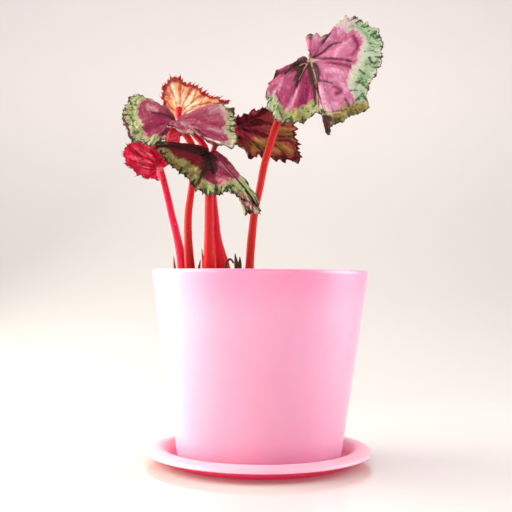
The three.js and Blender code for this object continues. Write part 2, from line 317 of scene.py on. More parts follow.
# Pot
# A plain tapered pot of pink plastic, moulded in one piece with a rounded lip and a low foot
# ring round its drain hole. It stands on the saucer's floor.
POT_LOW, POT_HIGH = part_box("pot")
POT_TOP = POT_HIGH.z / MM
POT_FOOT = POT_LOW.z / MM
POT_RIM_R = 70
POT_FOOT_R = 52.5
POT_WALL = 2.5
FOOT_RING = 5.5
DRAIN_R = 6
POT_RECESS = 2


def pot_outside(height):
    return POT_FOOT_R + (POT_RIM_R - POT_FOOT_R) * (height - POT_FOOT) / (POT_TOP - POT_FOOT)


soil_floor = POT_FOOT + POT_RECESS + POT_WALL
pot_outline = rounded(
    [
        (DRAIN_R, POT_FOOT + POT_RECESS),
        (POT_FOOT_R - FOOT_RING - 0.8, POT_FOOT + POT_RECESS),
        (POT_FOOT_R - FOOT_RING, POT_FOOT),
        (POT_FOOT_R, POT_FOOT),
        (pot_outside(POT_TOP - 1.9), POT_TOP - 1.9),
        (pot_outside(POT_TOP) - 0.9, POT_TOP),
        (pot_outside(POT_TOP) - POT_WALL, POT_TOP),
        (pot_outside(soil_floor) - POT_WALL, soil_floor),
        (DRAIN_R, soil_floor),
    ],
    radius=0.8,
)
# Its deep colour near the foot and its below colour are painted shade.
pot_pink = plastic(
    "pot_pink", skin=0.42, glow=0.004, coat=0.8, lit=0,
    plain=(246, 166, 201), worn=(245, 158, 195), deep=(248, 122, 176), high=(250, 142, 188),
    below=(248, 122, 176),
)
pot = turned("pot_shell", pot_outline, ROUND_SIDES, pot_pink)
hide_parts("pot")

# Soil
# Dark, damp potting compost of bark and peat, filled in by hand, so its top is crumbly, with
# loose crumbs lying on it. The rhizome is pressed half into it.
SOIL_TOP = 110
SOIL_RINGS = 70
SOIL_SIDES = 220
CRUMBS = 420
GOLDEN = (1 + 5**0.5) / 2
SOIL_R = pot_outside(SOIL_TOP) - POT_WALL - 0.3


def soil_height(x, y):
    """The soil's surface over a place in the pot, all in millimetres."""
    slow = 0.9 * math.sin(x / 5.1 + 1) * math.cos(y / 4.3) + 0.6 * math.sin(x / 2.7 - y / 3.9)
    fine = noise.fractal(Vector((x, y, 0)) / 3.2, 0.8, 2.1, 4)
    return SOIL_TOP + 0.6 * slow + 1.1 * fine


def compost():
    finish = Finish("compost", {"IOR": 1.4, "Specular IOR Level": 0.25})
    place = finish.place()
    crumb = finish.speckle(place, 420, 5, 0.7)
    patch = finish.speckle(place, 60, 3)
    earth = finish.mix(crumb.rise(0.35, 0.7), paint(34, 22, 16), paint(92, 64, 45))
    earth = finish.mix(patch.rise(0.5, 0.75) * 0.5, earth, paint(58, 36, 26))
    finish.feed("Base Color", earth)
    finish.feed("Roughness", 0.72 + 0.25 * crumb)
    finish.bump(crumb, 0.8, 0.0009)
    return finish.material


def soil_body():
    """The compost's top as a fine round grid, with its side and flat bottom."""
    sides = SOIL_SIDES
    points, faces = [(0, 0, soil_height(0, 0))], []
    for ring in range(1, SOIL_RINGS + 1):
        drop = max(0, ring - SOIL_RINGS + 2)
        for x, y, _ in circle(SOIL_R * ring / SOIL_RINGS, 0, sides):
            points.append((x, y, soil_height(x, y) - drop))
    points += circle(pot_outside(soil_floor) - POT_WALL - 1, soil_floor, sides)
    points.append((0, 0, soil_floor))
    for side in range(sides):
        after = (side + 1) % sides
        faces.append((0, 1 + side, 1 + after))
        for ring in range(SOIL_RINGS):
            here, there = 1 + ring * sides, 1 + (ring + 1) * sides
            faces.append((here + side, there + side, there + after, here + after))
        last = 1 + SOIL_RINGS * sides
        faces.append((len(points) - 1, last + after, last + side))
    return np.array(points) * MM, faces


def ball_corners():
    """The twelve corners of an even twenty-faced ball whose edges are 2 long."""
    corners = []
    for a in (-1, 1):
        for b in (-GOLDEN, GOLDEN):
            corners += [(0, a, b), (a, b, 0), (b, 0, a)]
    return np.array(corners)


def ball_faces(corners):
    """The twenty faces of that ball: the threes of its corners that lie next to each other."""
    faces = []
    for i in range(12):
        for j in range(i + 1, 12):
            for k in range(j + 1, 12):
                edges = corners[[i, j, k]] - corners[[j, k, i]]
                if np.all(np.abs(np.linalg.norm(edges, axis=1) - 2) < 1e-6):
                    normal = np.cross(corners[j] - corners[i], corners[k] - corners[i])
                    faces.append((i, j, k) if normal @ corners[i] > 0 else (i, k, j))
    return faces


soil_points, soil_faces = soil_body()
crumb_corners = ball_corners()
crumb_faces = ball_faces(crumb_corners)
crumb_corners = crumb_corners / np.linalg.norm((1, GOLDEN))
rng = np.random.default_rng(11)
for _ in range(CRUMBS):
    distance = (SOIL_R - 3) * math.sqrt(rng.uniform())
    angle = rng.uniform(0, 2 * math.pi)
    x, y = distance * math.cos(angle), distance * math.sin(angle)
    size = rng.uniform(0.5, 1.6)
    centre = np.array((x, y, soil_height(x, y) + 0.2 * size))
    stretch = rng.uniform(0.6, 1.3, 3)
    crumb = centre + size * crumb_corners * stretch * rng.uniform(0.75, 1.2, (12, 1))
    start = len(soil_points)
    soil_points = np.vstack([soil_points, crumb * MM])
    soil_faces += [tuple(start + corner for corner in face) for face in crumb_faces]
soil = piece("compost_fill", soil_points, soil_faces, [compost()])
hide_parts("soil")

# Rhizome
# The creeping stem of the plant, thick, knobbly and brown, half sunk in the compost. Pointed
# papery stipules stand on it between the stalks.
RHIZOME_LINE = [
    (-55, 4, 108.5, 3.4), (-50, 3, 110.5, 5.6), (-45, 1, 111, 4.7), (-40, 0, 111, 5.4),
    (-34, 0, 111, 5.8), (-29, 2, 111, 4.8), (-23, 4, 111, 5.9), (-16, 5, 111, 4.6),
    (-9, 5, 111, 5.6), (-3, 6, 110.5, 5), (3, 7, 109, 3),
]
STIPULES = [
    [(-54, 2, 111, 1.5), (-55.6, 2.6, 121, 1.1), (-56.8, 3, 131, 0.2)],
    [(-40, 0, 111, 2), (-40.2, 0, 120, 1.4), (-39, 0, 129, 0.2)],
    [(-36, -3, 112, 1.6), (-36.6, -3.6, 124, 1.2), (-38, -4, 136, 0.2)],
    [(-12, 4, 112, 1.8), (-12.4, 3, 118, 1.4), (-11, 2, 124, 0.2)],
]
STIPULE_FADE = (0.113, 0.122)


def smooth_line(points, at):
    """The smooth line through points, at places that are counted in points."""
    points = np.array(points, float)
    held = np.vstack([2 * points[0] - points[1], points, 2 * points[-1] - points[-2]])
    low = np.clip(np.floor(at).astype(int), 0, len(points) - 2)
    t = (at - low)[..., None]
    a, b, c, d = (held[low + step] for step in range(4))
    return (2 * b + (c - a) * t + (2 * a - 5 * b + 4 * c - d) * t**2
            + (3 * b - a - 3 * c + d) * t**3) / 2


def frames_along(centres):
    """Two directions square to a line at each of its points, with no twist along it."""
    tangents = np.gradient(centres, axis=0)
    tangents /= np.linalg.norm(tangents, axis=1)[:, None]
    across = np.cross(tangents[0], (0.3, 1, 0.2))
    firsts = []
    for tangent in tangents:
        across = across - tangent * (across @ tangent)
        across = across / np.linalg.norm(across)
        firsts.append(across)
    firsts = np.array(firsts)
    return firsts, np.cross(tangents, firsts)


def stem(line, sides, steps, relief):
    """A closed round stem in millimetres. relief(along, angle) swells it by a share."""
    at = np.linspace(0, len(line) - 1, steps + 1)
    held = smooth_line(line, at)
    centres, radii = held[:, :3], np.maximum(held[:, 3], 0.1)
    firsts, seconds = frames_along(centres)
    angles = np.linspace(0, 2 * math.pi, sides, endpoint=False)
    points = []
    for step in range(steps + 1):
        for angle in angles:
            radius = radii[step] * (1 + relief(step / steps, angle))
            spoke = math.cos(angle) * firsts[step] + math.sin(angle) * seconds[step]
            points.append(centres[step] + radius * spoke)
    faces = []
    for step in range(steps):
        for side in range(sides):
            after = (side + 1) % sides
            here, there = step * sides, (step + 1) * sides
            faces.append((here + side, here + after, there + after, there + side))
    faces.append(tuple(range(sides))[::-1])
    faces.append(tuple(steps * sides + side for side in range(sides)))
    return np.array(points), faces


def gathered(parts):
    """Several meshes' points and faces as one."""
    points, faces, start = [], [], 0
    for some, theirs in parts:
        points.append(some)
        faces += [tuple(start + corner for corner in face) for face in theirs]
        start += len(some)
    return np.vstack(points), faces


def knobs(along, angle):
    return 0.16 * noise.noise(Vector((along * 22, 1.3 * math.cos(angle), 1.3 * math.sin(angle))))


def ribbed(along, angle):
    return 0.03 * math.sin(7 * angle + 3 * along)


def bark():
    finish = Finish("rhizome_bark", {"IOR": 1.4})
    patch = finish.speckle(finish.place(), 240, 5, 0.65)
    brown = finish.mix(patch.rise(0.3, 0.7), paint(66, 34, 24), paint(150, 88, 58))
    stipule = finish.height().rise(*STIPULE_FADE)
    finish.feed("Base Color", finish.mix(stipule, brown, paint(178, 24, 30)))
    finish.feed("Roughness", 0.55 + 0.3 * patch)
    finish.bump(patch, 0.6, 0.0006)
    return finish.material


rhizome_parts = [stem(RHIZOME_LINE, sides=28, steps=150, relief=knobs)]
rhizome_parts += [stem(line, sides=12, steps=24, relief=ribbed) for line in STIPULES]
rhizome_points, rhizome_faces = gathered(rhizome_parts)
rhizome = piece("rhizome_stem", rhizome_points * MM, rhizome_faces, [bark()])
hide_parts("rhizome")

# Stalks
# Six fleshy leaf stalks, red and juicy, grown from the rhizome. They are swollen at the foot,
# finely ribbed, covered in short pale hairs, and widen again where they meet the leaf.
STALK_SIDES = 24
STALK_STEPS = 130
HAIR_RADIUS = 0.05


def flesh(name, foot, middle, top):
    """Juicy stalk flesh that lets light through, coloured from its foot to its top."""
    numbers = {
        "IOR": 1.4,
        "Subsurface Weight": 0.3,
        "Subsurface Scale": 0.0015,
        "Specular IOR Level": 0.2,
    }
    finish = Finish(name, numbers)
    along = finish.node("ShaderNodeAttribute", {"attribute_name": "along"}, {}, "Fac")
    streak = finish.speckle(finish.scaled(finish.place(), 900, 900, 60), 1, 3)
    cloud = finish.speckle(finish.place(), 120, 3)
    colour = finish.mix(along.rise(0, 0.45), paint(*foot), paint(*middle))
    colour = finish.mix(along.rise(0.5, 1), colour, paint(*top))
    colour = finish.mix(streak.rise(0.5, 0.75) * 0.35, colour, paint(*foot))
    finish.feed("Base Color", colour)
    finish.feed("Roughness", 0.38 + 0.2 * cloud)
    finish.bump(streak, 0.25, 0.0003)
    return finish.material


def down_hair():
    numbers = {"Roughness": 0.5, "Subsurface Weight": 0.5, "Subsurface Scale": 0.001}
    finish = Finish("pale_hair", numbers)
    cloud = finish.speckle(finish.place(), 300, 2)
    finish.feed("Base Color", finish.mix(cloud, paint(255, 140, 172), paint(255, 210, 220)))
    return finish.material


def hairs(roots, directions, length, width, rng):
    """Thin three-sided hairs on their roots, each leaning its own way."""
    points, faces = [], []
    for root, direction in zip(roots, directions):
        own = length * rng.uniform(0.5, 1.2)
        lean = direction + rng.normal(0, 0.25, 3)
        lean /= np.linalg.norm(lean)
        side = np.cross(lean, (0.31, 0.2, 0.93))
        side /= np.linalg.norm(side)
        other = np.cross(lean, side)
        start = len(points)
        for turn in range(3):
            angle = 2 * math.pi * turn / 3
            spoke = math.cos(angle) * side + math.sin(angle) * other
            points.append(root + width * spoke - 0.1 * lean)
        points.append(root + own * lean)
        a, b, c, tip = range(start, start + 4)
        faces += [(a, b, tip), (b, c, tip), (c, a, tip), (a, c, b)]
    return np.array(points), faces


def stalk_ribs(along, angle):
    """The swollen foot and top of a stalk, its fine ribs, and its uneven skin."""
    swell = 0.18 * math.exp(-along * 9) + 0.25 * math.exp((along - 1) * 45)
    uneven = 0.05 * noise.noise(Vector((along * 30, math.cos(angle), math.sin(angle))))
    return swell + 0.02 * math.sin(6 * angle) + uneven


def stalk(place, line, shades, count, length):
    """One stalk with this many hairs, in place of the plain one."""
    points, faces = stem(line, STALK_SIDES, STALK_STEPS, stalk_ribs)
    along = np.repeat(np.linspace(0, 1, STALK_STEPS + 1), STALK_SIDES)
    rng = np.random.default_rng(len(place))
    rings = points.reshape(STALK_STEPS + 1, STALK_SIDES, 3)
    steps = rng.integers(8, STALK_STEPS - 2, count)
    sides = rng.integers(0, STALK_SIDES, count)
    roots = rings[steps, sides]
    outward = roots - rings[steps].mean(axis=1)
    outward /= np.linalg.norm(outward, axis=1)[:, None]
    fuzz, fuzz_faces = hairs(roots, outward, length, HAIR_RADIUS, rng)
    everything, all_faces = gathered([(points, faces), (fuzz, fuzz_faces)])
    kinds = [0] * len(faces) + [1] * len(fuzz_faces)
    materials = [flesh(f"stalk_flesh_{place}", *shades), pale_hair]
    made = piece(f"stalk_{place}_flesh", everything * MM, all_faces, materials, kinds)
    values = np.concatenate([along, np.ones(len(fuzz))])
    made.data.attributes.new("along", "FLOAT", "POINT").data.foreach_set("value", values)
    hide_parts(f"stalk_{place}")


STALK_LINES = {
    "upper_right": [
        (-7, 5, 113, 2.9), (-7, 5, 126, 2.6), (-6, 4, 142, 2.6), (-4, 3, 161, 2.4),
        (-1, 3, 175, 2.3), (2, 3, 191, 2.4), (6, 3, 205, 2.4), (10, 3, 218, 2.4),
        (19, 3, 238, 2.2), (27, -1, 251, 2.1), (31, -5.5, 256.6, 1.9),
    ],
    "middle": [
        (-29, 8, 112, 2.4), (-28.5, 13, 128, 2.1), (-30, 16, 142, 2), (-32, 17, 159, 1.9),
        (-32, 18, 176, 1.9), (-33, 18, 189, 1.8), (-32, 18, 203, 1.8), (-26, 16, 213, 1.8),
        (-21, 17.5, 217.8, 1.7), (-18.2, 20.2, 219, 1.4),
    ],
    "lower_left": [
        (-51, 4, 113, 3.2), (-51, 4.5, 124, 3.1), (-54.4, 5, 142, 2.5), (-58.4, 5, 158, 2.3),
        (-62.2, 2, 175, 2.1), (-64.4, -1.4, 184, 2), (-66, 2.6, 188.6, 1.7),
    ],
    "saddle": [
        (-44.5, -1, 113, 3.1), (-46, -1.5, 126, 3.1), (-47, -2, 142, 2.6), (-47, -3, 158, 2.4),
        (-45, -4, 174, 2.2), (-43, -4, 191, 2.2), (-45, -4, 203, 2.2), (-50, -5, 211, 2.1),
        (-54.6, -6, 215.6, 1.9),
    ],
    "front": [
        (-33, -3, 113, 3.8), (-33, -7, 127, 3.5), (-33, -9, 142, 3.1), (-33, -11, 158, 2.9),
        (-33, -13, 174, 2.7), (-33, -15.5, 186, 2.5), (-33, -18.4, 194.2, 1.9),
    ],
    "upright": [
        (-23, 3, 113, 5.2), (-25.4, 3.5, 126, 4.6), (-28.6, 4, 142, 3.1), (-30.2, 5, 159, 2.4),
        (-32, 7, 175, 2.2), (-35, 10, 192, 2.2), (-38, 12, 205, 2.2), (-48.5, 14, 217, 2.1),
        (-54.7, 15.4, 223.6, 2.1), (-55.4, 18.8, 231.2, 1.8),
    ],
}
STALK_COLOURS = {
    "upper_right": [(206, 22, 22), (208, 36, 28), (160, 18, 18)],
    "middle": [(150, 12, 20), (176, 22, 24), (190, 34, 30)],
    "lower_left": [(216, 2, 44), (230, 8, 68), (200, 0, 44)],
    "saddle": [(178, 6, 12), (206, 26, 28), (214, 44, 40)],
    "front": [(226, 28, 38), (214, 30, 36), (212, 38, 44)],
    "upright": [(212, 0, 12), (222, 14, 62), (206, 10, 50)],
}
STALK_HAIRS = {
    "upper_right": (420, 0.8), "middle": (220, 0.8), "lower_left": (1500, 1.5),
    "saddle": (380, 0.9), "front": (420, 0.8), "upright": (420, 0.9),
}
pale_hair = down_hair()
for place, line in STALK_LINES.items():
    stalk(place, line, STALK_COLOURS[place], *STALK_HAIRS[place])

# Leaves
# Lopsided begonia blades, thin and a little fleshy, with bristly teeth, puffed up like a quilt
# between their sunk veins. Above they have a mauve heart, dark ribs and a pale green border with
# darker marks, and below they are red or bronze.

# Where the viewer stands who sees the strokes on each blade.
VIEWER = np.array((-2.8, -580, 116))
# The thickness of a blade, what its main ribs add to it below, and half of it at the hub.
BLADE_THICK = 0.5
RIB_THICK = 0.4
HUB_BULGE = 0.6
# The mesh: the size of its cells, its closer rows in the margin, and the step between the dots
# on a line from which distances to that line are measured.
CELL = 0.62
MARGIN = 8
MARGIN_ROWS = 20
DOT_STEP = 0.25
# The relief: the cuts between scallops as a share of the ray, the shortest ray whose teeth have
# their full height, how deep main and side veins are sunk, how wide of a vein the quilting
# rises, the size and height of the net of cells, and how the margin is crumpled and fluted.
SCALLOP = 0.03
LONG_RAY = 24
RIB_SINK = 0.6
SIDE_SINK = 0.2
PILLOW_WIDTH = 2.6
NET_SIZE = 1.9
NET_RISE = 0.32
CRUMPLE = 0.7
FLUTE_LENGTH = 8.5
# The dark marks that run in from the rim, and the down on the underside.
MARK_SPACING = 5.5
MARK_REACH = 5.5
FUZZ_LENGTH = 0.9
FUZZ_RADIUS = 0.04


def hump(at, veins):
    """0 on the lines that veins counts, and a smooth rise to 1 between two of them."""
    low = np.clip(np.searchsorted(veins, at, side="right") - 1, 0, len(veins) - 2)
    veins = np.array(veins, float)
    return np.sin(math.pi * (at - veins[low]) / (veins[low + 1] - veins[low]))


class Blade:
    """The middle surface of a leaf, spanned by rays from its hub to its rim, in millimetres."""

    def __init__(self, hub, rim, veins, arch, puff, wave, split):
        self.hub = np.array(hub, float)
        self.rim = rim
        self.last = len(rim) - 1
        self.veins, self.arch, self.puff = veins, arch, puff
        self.wave, self.split = wave, split
        self.places = np.linspace(0, self.last, 3000)
        rim_points = smooth_line(rim, self.places)
        steps = np.linalg.norm(np.diff(rim_points, axis=0), axis=1)
        self.lengths = np.concatenate([[0], np.cumsum(steps)])
        rays = rim_points - self.hub
        up = np.cross(rays[:-1], rays[1:]).sum(axis=0)
        self.up = up / np.linalg.norm(up)

    def rays(self, at):
        return smooth_line(self.rim, at) - self.hub

    def surface(self, at, out):
        """Points of the blade at places round its rim and shares of the way out to it."""
        humps = self.puff * hump(at, self.veins) * np.sin(math.pi * out)
        ripple = self.wave * np.sin(4 * math.pi * at / 3) * out**3
        lift = self.arch * 4 * out * (1 - out) + humps + ripple
        return self.hub + self.rays(at) * out[..., None] + self.up * lift[..., None]

    def scallops(self, at):
        """How deep the rim is cut between its large scallops, as a share of the ray."""
        return SCALLOP * np.abs(at * self.split % 2 - 1) ** 0.8


def saw(lengths, rng, pitch, height):
    """Small uneven teeth along a rim: how far it is cut in at each length along it."""
    marks, depths, place = [0.0], [height], 0.0
    while place < lengths[-1]:
        width = pitch * rng.uniform(0.6, 1.5)
        marks += [place + 0.6 * width, place + width]
        depths += [height * rng.uniform(0, 0.5), height * rng.uniform(0.8, 1)]
        place += width
    return np.interp(lengths, marks, depths), marks[1::2]


def rim_marks(lengths, edge, rng, spacing, reach):
    """1 on tapered marks that run in from the rim's teeth, and 0 between them."""
    mask = np.zeros(edge.shape)
    place = spacing * rng.uniform()
    while place < lengths.max():
        inside = edge / (reach * rng.uniform(0.3, 1.1))
        wide = spacing * rng.uniform(0.12, 0.3) * np.maximum(1.15 - inside, 0.05)
        aside = np.abs(lengths - place - rng.uniform(-0.5, 0.5) * edge) / wide
        mask = np.maximum(mask, np.clip(4 - 4 * np.maximum(aside, inside), 0, 1))
        place += spacing * rng.uniform(0.6, 1.5)
    return mask


def each_point(points, measure):
    """A number for each point of a grid."""
    numbers = [measure(point) for point in points.reshape(-1, 3).tolist()]
    return np.array(numbers).reshape(points.shape[:-1])


def tree_of(dots):
    """A search tree over points."""
    tree = kdtree.KDTree(len(dots))
    for rank, dot in enumerate(dots.tolist()):
        tree.insert(dot, rank)
    tree.balance()
    return tree


def nearest(points, lines):
    """The distance from each point to the nearest of several lines of points."""
    dots = []
    for line in lines:
        steps = np.linalg.norm(np.diff(line, axis=0), axis=1)
        along = np.concatenate([[0], np.cumsum(steps)])
        places = np.linspace(0, along[-1], int(along[-1] / DOT_STEP) + 2)
        dots.append(np.stack([np.interp(places, along, axis) for axis in line.T], axis=1))
    tree = tree_of(np.vstack(dots))
    return each_point(points, lambda point: tree.find(point)[2])


def cloudy(points, size):
    """Smooth noise from about -1 to 1, with lumps of this size in millimetres."""
    return each_point(points, lambda point: noise.noise(Vector(point) / size))


def net_cells(points, rng, size):
    """How far each point is from the border of its cell in a net of cells of this size."""
    flat = points.reshape(-1, 3)
    area = np.linalg.norm(np.ptp(flat, axis=0)) ** 2 * 0.35
    cores = tree_of(flat[rng.choice(len(flat), int(area / size**2))])

    def gap(point):
        first, second = cores.find_n(point, 2)
        return (second[2] - first[2]) / 2

    return each_point(points, gap)


def side_veins(blade, ribs):
    """Side veins that leave the main ribs to the left and right, and fork once on their way."""
    lines = []
    t = np.linspace(0, 1, 9)
    for rank, rib in enumerate(ribs):
        before = ribs[rank - 1] if rank else 0
        after = ribs[rank + 1] if rank + 1 < len(ribs) else blade.last
        for limit in (before, after):
            for step in range(5):
                start = 0.18 + 0.15 * step + (0.06 if limit > rib else 0)
                out = start + (0.97 - start) * 0.62 * t**0.9
                lines.append((rib + (limit - rib) * 0.48 * t, np.clip(out, 0, 0.97)))
                fork = rib + (limit - rib) * (0.2 + 0.24 * t)
                lines.append((fork, np.clip(out[4] + (0.98 - out[4]) * t, 0, 0.98)))
    return lines


def smooth_step(values, low, high):
    t = np.clip((values - low) / (high - low), 0, 1)
    return t * t * (3 - 2 * t)


def unit(vectors):
    return vectors / np.linalg.norm(vectors, axis=-1)[..., None]


def seen_at(points, depth):
    """Where the viewer sees points on the upright plane at this depth."""
    near = (depth - VIEWER[1]) / (points[..., 1:2] - VIEWER[1])
    return VIEWER + (points - VIEWER) * near


def inside(points, strokes):
    """How far points lie inside the nearest of some strokes.

    A stroke is a smooth line of (x, z) with half its width, or with none for a bare line.
    """
    x, z = points[..., 0], points[..., 2]
    best = np.full(x.shape, -99.0)
    for stroke in strokes:
        stroke = [(*point, 0)[:3] for point in stroke]
        line = smooth_line(stroke, np.linspace(0, len(stroke) - 1, 4 * len(stroke) - 3))
        for (ax, az, half), (bx, bz, other) in zip(line, line[1:]):
            dx, dz = bx - ax, bz - az
            t = np.clip(((x - ax) * dx + (z - az) * dz) / (dx * dx + dz * dz), 0, 1)
            gap = np.hypot(x - ax - t * dx, z - az - t * dz)
            best = np.maximum(best, half + (other - half) * t - gap)
    return best


def curl_sizes(at, curls):
    """At each place: how far in a curl starts, the margin it adds, its radius, and its turn."""
    start, rolled, turn = np.zeros((3, len(at)))
    radius = np.ones(len(at))
    for middle, half, back, extra, tight, angle in curls:
        share = 1 - np.clip(np.abs(at - middle) / half, 0, 1) ** 3
        start = np.maximum(start, back * share)
        rolled = np.maximum(rolled, extra * share)
        radius = np.where(share > 0, tight, radius)
        turn = np.where(share > 0, angle, turn)
    return start, rolled, radius, turn


def rows_out(full):
    """Rows of distances from the hub out to the rim, close together in the margin."""
    margin = np.minimum(MARGIN, 0.4 * full)
    inner = np.linspace(0, 1, int((full - margin).max() / CELL) + 1)[1:, None]
    outer = np.linspace(0, 1, MARGIN_ROWS + 1)[1:, None]
    return np.vstack([inner * (full - margin), full - margin + outer * margin])


def strip(gap, width):
    """1 on a line and 0 beside it, from the distance to that line."""
    return np.exp(-((gap / width) ** 2))


class Sheet:
    """A blade as rows of points from its hub to its rim, and what is known at each point."""

    def __init__(self, blade, ribs, strokes, rng, pitch, tooth, curls):
        self.blade, self.strokes = blade, strokes
        self.lengths = np.linspace(0, blade.lengths[-1], int(blade.lengths[-1] / CELL) + 1)
        at = np.interp(self.lengths, blade.lengths, blade.places)
        cut, tips = saw(self.lengths, rng, pitch, tooth)
        self.tips = np.searchsorted(self.lengths, tips[:-1])
        long = np.linalg.norm(blade.rays(at), axis=1)
        start, rolled, radius, turn = curl_sizes(at, curls)
        teeth = (0.5 * tooth - cut) * np.clip(long / LONG_RAY, 0.3, 1)
        full = long * (1 - blade.scallops(at)) + teeth + rolled
        self.along = rows_out(full)
        self.at = np.broadcast_to(at, self.along.shape)
        self.round_rim = np.broadcast_to(self.lengths, self.along.shape)
        self.short = full - self.along
        self.over = np.where(rolled > 0, np.maximum(self.along - long + start, 0), 0)
        self.out = (self.along - self.over) / long

        base, way = blade.surface(self.at, self.out), unit(blade.rays(self.at))
        self.flat = base + way * self.over[..., None]
        upward = unit(blade.up - way * (way @ blade.up)[..., None])
        bend = np.minimum(self.over / radius, np.abs(turn))
        past = self.over - bend * radius
        forth = radius * np.sin(bend) + past * np.cos(bend)
        rise = (radius * (1 - np.cos(bend)) + past * np.sin(bend)) * np.sign(turn)
        self.points = base + way * forth[..., None] + upward * rise[..., None]

        self.facing = seen_at(self.flat, blade.hub[1])
        self.rib_gap = -inside(self.facing, strokes["lines"])
        side_lines = [blade.surface(*line) for line in side_veins(blade, ribs)]
        self.side_gap = nearest(self.flat, side_lines)
        self.edge = nearest(self.flat, [self.flat[-1]])
        self.net_gap = net_cells(self.flat, rng, NET_SIZE)
        self.fine, self.coarse = cloudy(self.flat, 2.4), cloudy(self.flat, 8)

    def lift(self, quilt, ruffle, frills):
        """Raises the skin between its veins, and ruffles and frills its margin."""
        vein_gap = np.minimum(self.rib_gap, self.side_gap)
        taper = 1 - 0.6 * np.clip(self.out, 0, 1)
        sink = RIB_SINK * taper * strip(self.rib_gap, 1.2 * taper)
        sink += SIDE_SINK * strip(self.side_gap, 0.6)
        self.pillow = quilt * (1 - strip(vein_gap, PILLOW_WIDTH))
        cells = NET_RISE * np.clip(self.net_gap / 0.8, 0, 1)
        crumple = CRUMPLE * cloudy(self.flat + 40, 1.8) * np.exp(-self.edge / 5)
        relief = self.pillow + cells + crumple + 0.15 * self.fine - sink
        lift = relief * np.clip(self.along / 6, 0, 1)
        turns = 2 * math.pi * self.round_rim
        flutes = np.sin(turns / FLUTE_LENGTH + 3 * self.coarse) * np.exp(-self.edge / 4)
        lift += ruffle * (flutes + 0.9 * self.coarse * self.out**2)
        for middle, half, height, length in frills:
            share = np.clip(1 - np.abs(self.at - middle) / half, 0, 1) ** 0.5
            lift += height * share * np.sin(turns / length) * np.exp(-self.edge / 3)
        normal = unit(np.cross(*np.gradient(self.points, axis=(0, 1))))
        self.points = self.points + normal * lift[..., None]
        self.outward = unit(np.gradient(self.points, axis=0))
        self.normal = unit(np.cross(self.outward, np.gradient(self.points, axis=1)))

    def stroke(self, kind, fine, coarse, low, high):
        """1 inside one kind of stroke and 0 outside, with an uneven edge."""
        depth = inside(self.facing, self.strokes.get(kind, []))
        return smooth_step(depth + fine * self.fine + coarse * self.coarse, low, high)

    def colour(self, border, tones, rng):
        """Fills in where each colour of the leaf lies."""
        width = np.interp(self.at, *zip(*border))
        wander = 1.9 * self.fine + 0.9 * self.coarse + 0.8 * np.exp(-self.side_gap)
        inward = np.maximum(self.edge, 0.7 * self.short)
        self.pale = smooth_step(width - inward + wander, -1.2, 1.2) * smooth_step(width, 0, 1)
        self.marks = rim_marks(self.round_rim, self.edge, rng, MARK_SPACING, MARK_REACH)
        self.dark = self.stroke("dark", 0.6, 0, -0.9, 0.5)
        self.rich = self.stroke("rich", 0.6, 0.3, -1.3, 1.1)
        self.light = self.stroke("light", 0.6, 0, -1.5, 1.3)
        self.line = self.stroke("line", 0, 0, -0.3, 0.2)
        self.spots = self.stroke("spots", 0.7, 0, -0.4, 0.3)
        self.tone = np.interp(self.at, *zip(*tones))

    def skinned(self):
        """The sheet's upper and lower skin, closed along its rim, and each face's material."""
        hub, up = self.blade.hub, self.blade.up
        ribs = RIB_THICK * strip(self.rib_gap, 0.7) * np.clip(1 - self.out, 0, 1)
        raised = self.points + self.normal * BLADE_THICK / 2
        lowered = self.points - self.normal * (BLADE_THICK / 2 + ribs)[..., None]
        above = np.vstack([[hub + up * HUB_BULGE], raised.reshape(-1, 3)])
        below = np.vstack([[hub - up * HUB_BULGE], lowered.reshape(-1, 3)])
        count = len(above)
        rows, across = self.along.shape
        spot = 1 + np.arange(rows * across).reshape(rows, across)
        faces = [(0, int(spot[0, i]), int(spot[0, i + 1])) for i in range(across - 1)]
        grid = np.stack([spot[:-1, :-1], spot[1:, :-1], spot[1:, 1:], spot[:-1, 1:]], axis=-1)
        faces += [tuple(face) for face in grid.reshape(-1, 4).tolist()]
        kinds = [0] * len(faces) + [1] * len(faces)
        faces += [tuple(count + corner for corner in face[::-1]) for face in faces]
        rim_way = [0] + spot[:, 0].tolist() + spot[-1, 1:].tolist() + spot[-2::-1, -1].tolist()
        for a, b in zip(rim_way, rim_way[1:] + rim_way[:1]):
            faces.append((a, a + count, b + count, b))
            kinds.append(0)
        return np.vstack([above, below]), faces, kinds


def store(mesh, title, *fields):
    """Keeps three numbers at each point of both skins, and 0 at the bristles.

    Each field is a grid of numbers with the number at the hub.
    """
    columns = []
    for field, at_hub in fields:
        skin = np.concatenate([[at_hub], field.reshape(-1)])
        spare = len(mesh.vertices) - 2 * len(skin)
        columns.append(np.concatenate([skin, skin, np.zeros(spare)]))
    layer = mesh.attributes.new(title, "FLOAT_VECTOR", "POINT")
    layer.data.foreach_set("vector", np.stack(columns, axis=1).reshape(-1))


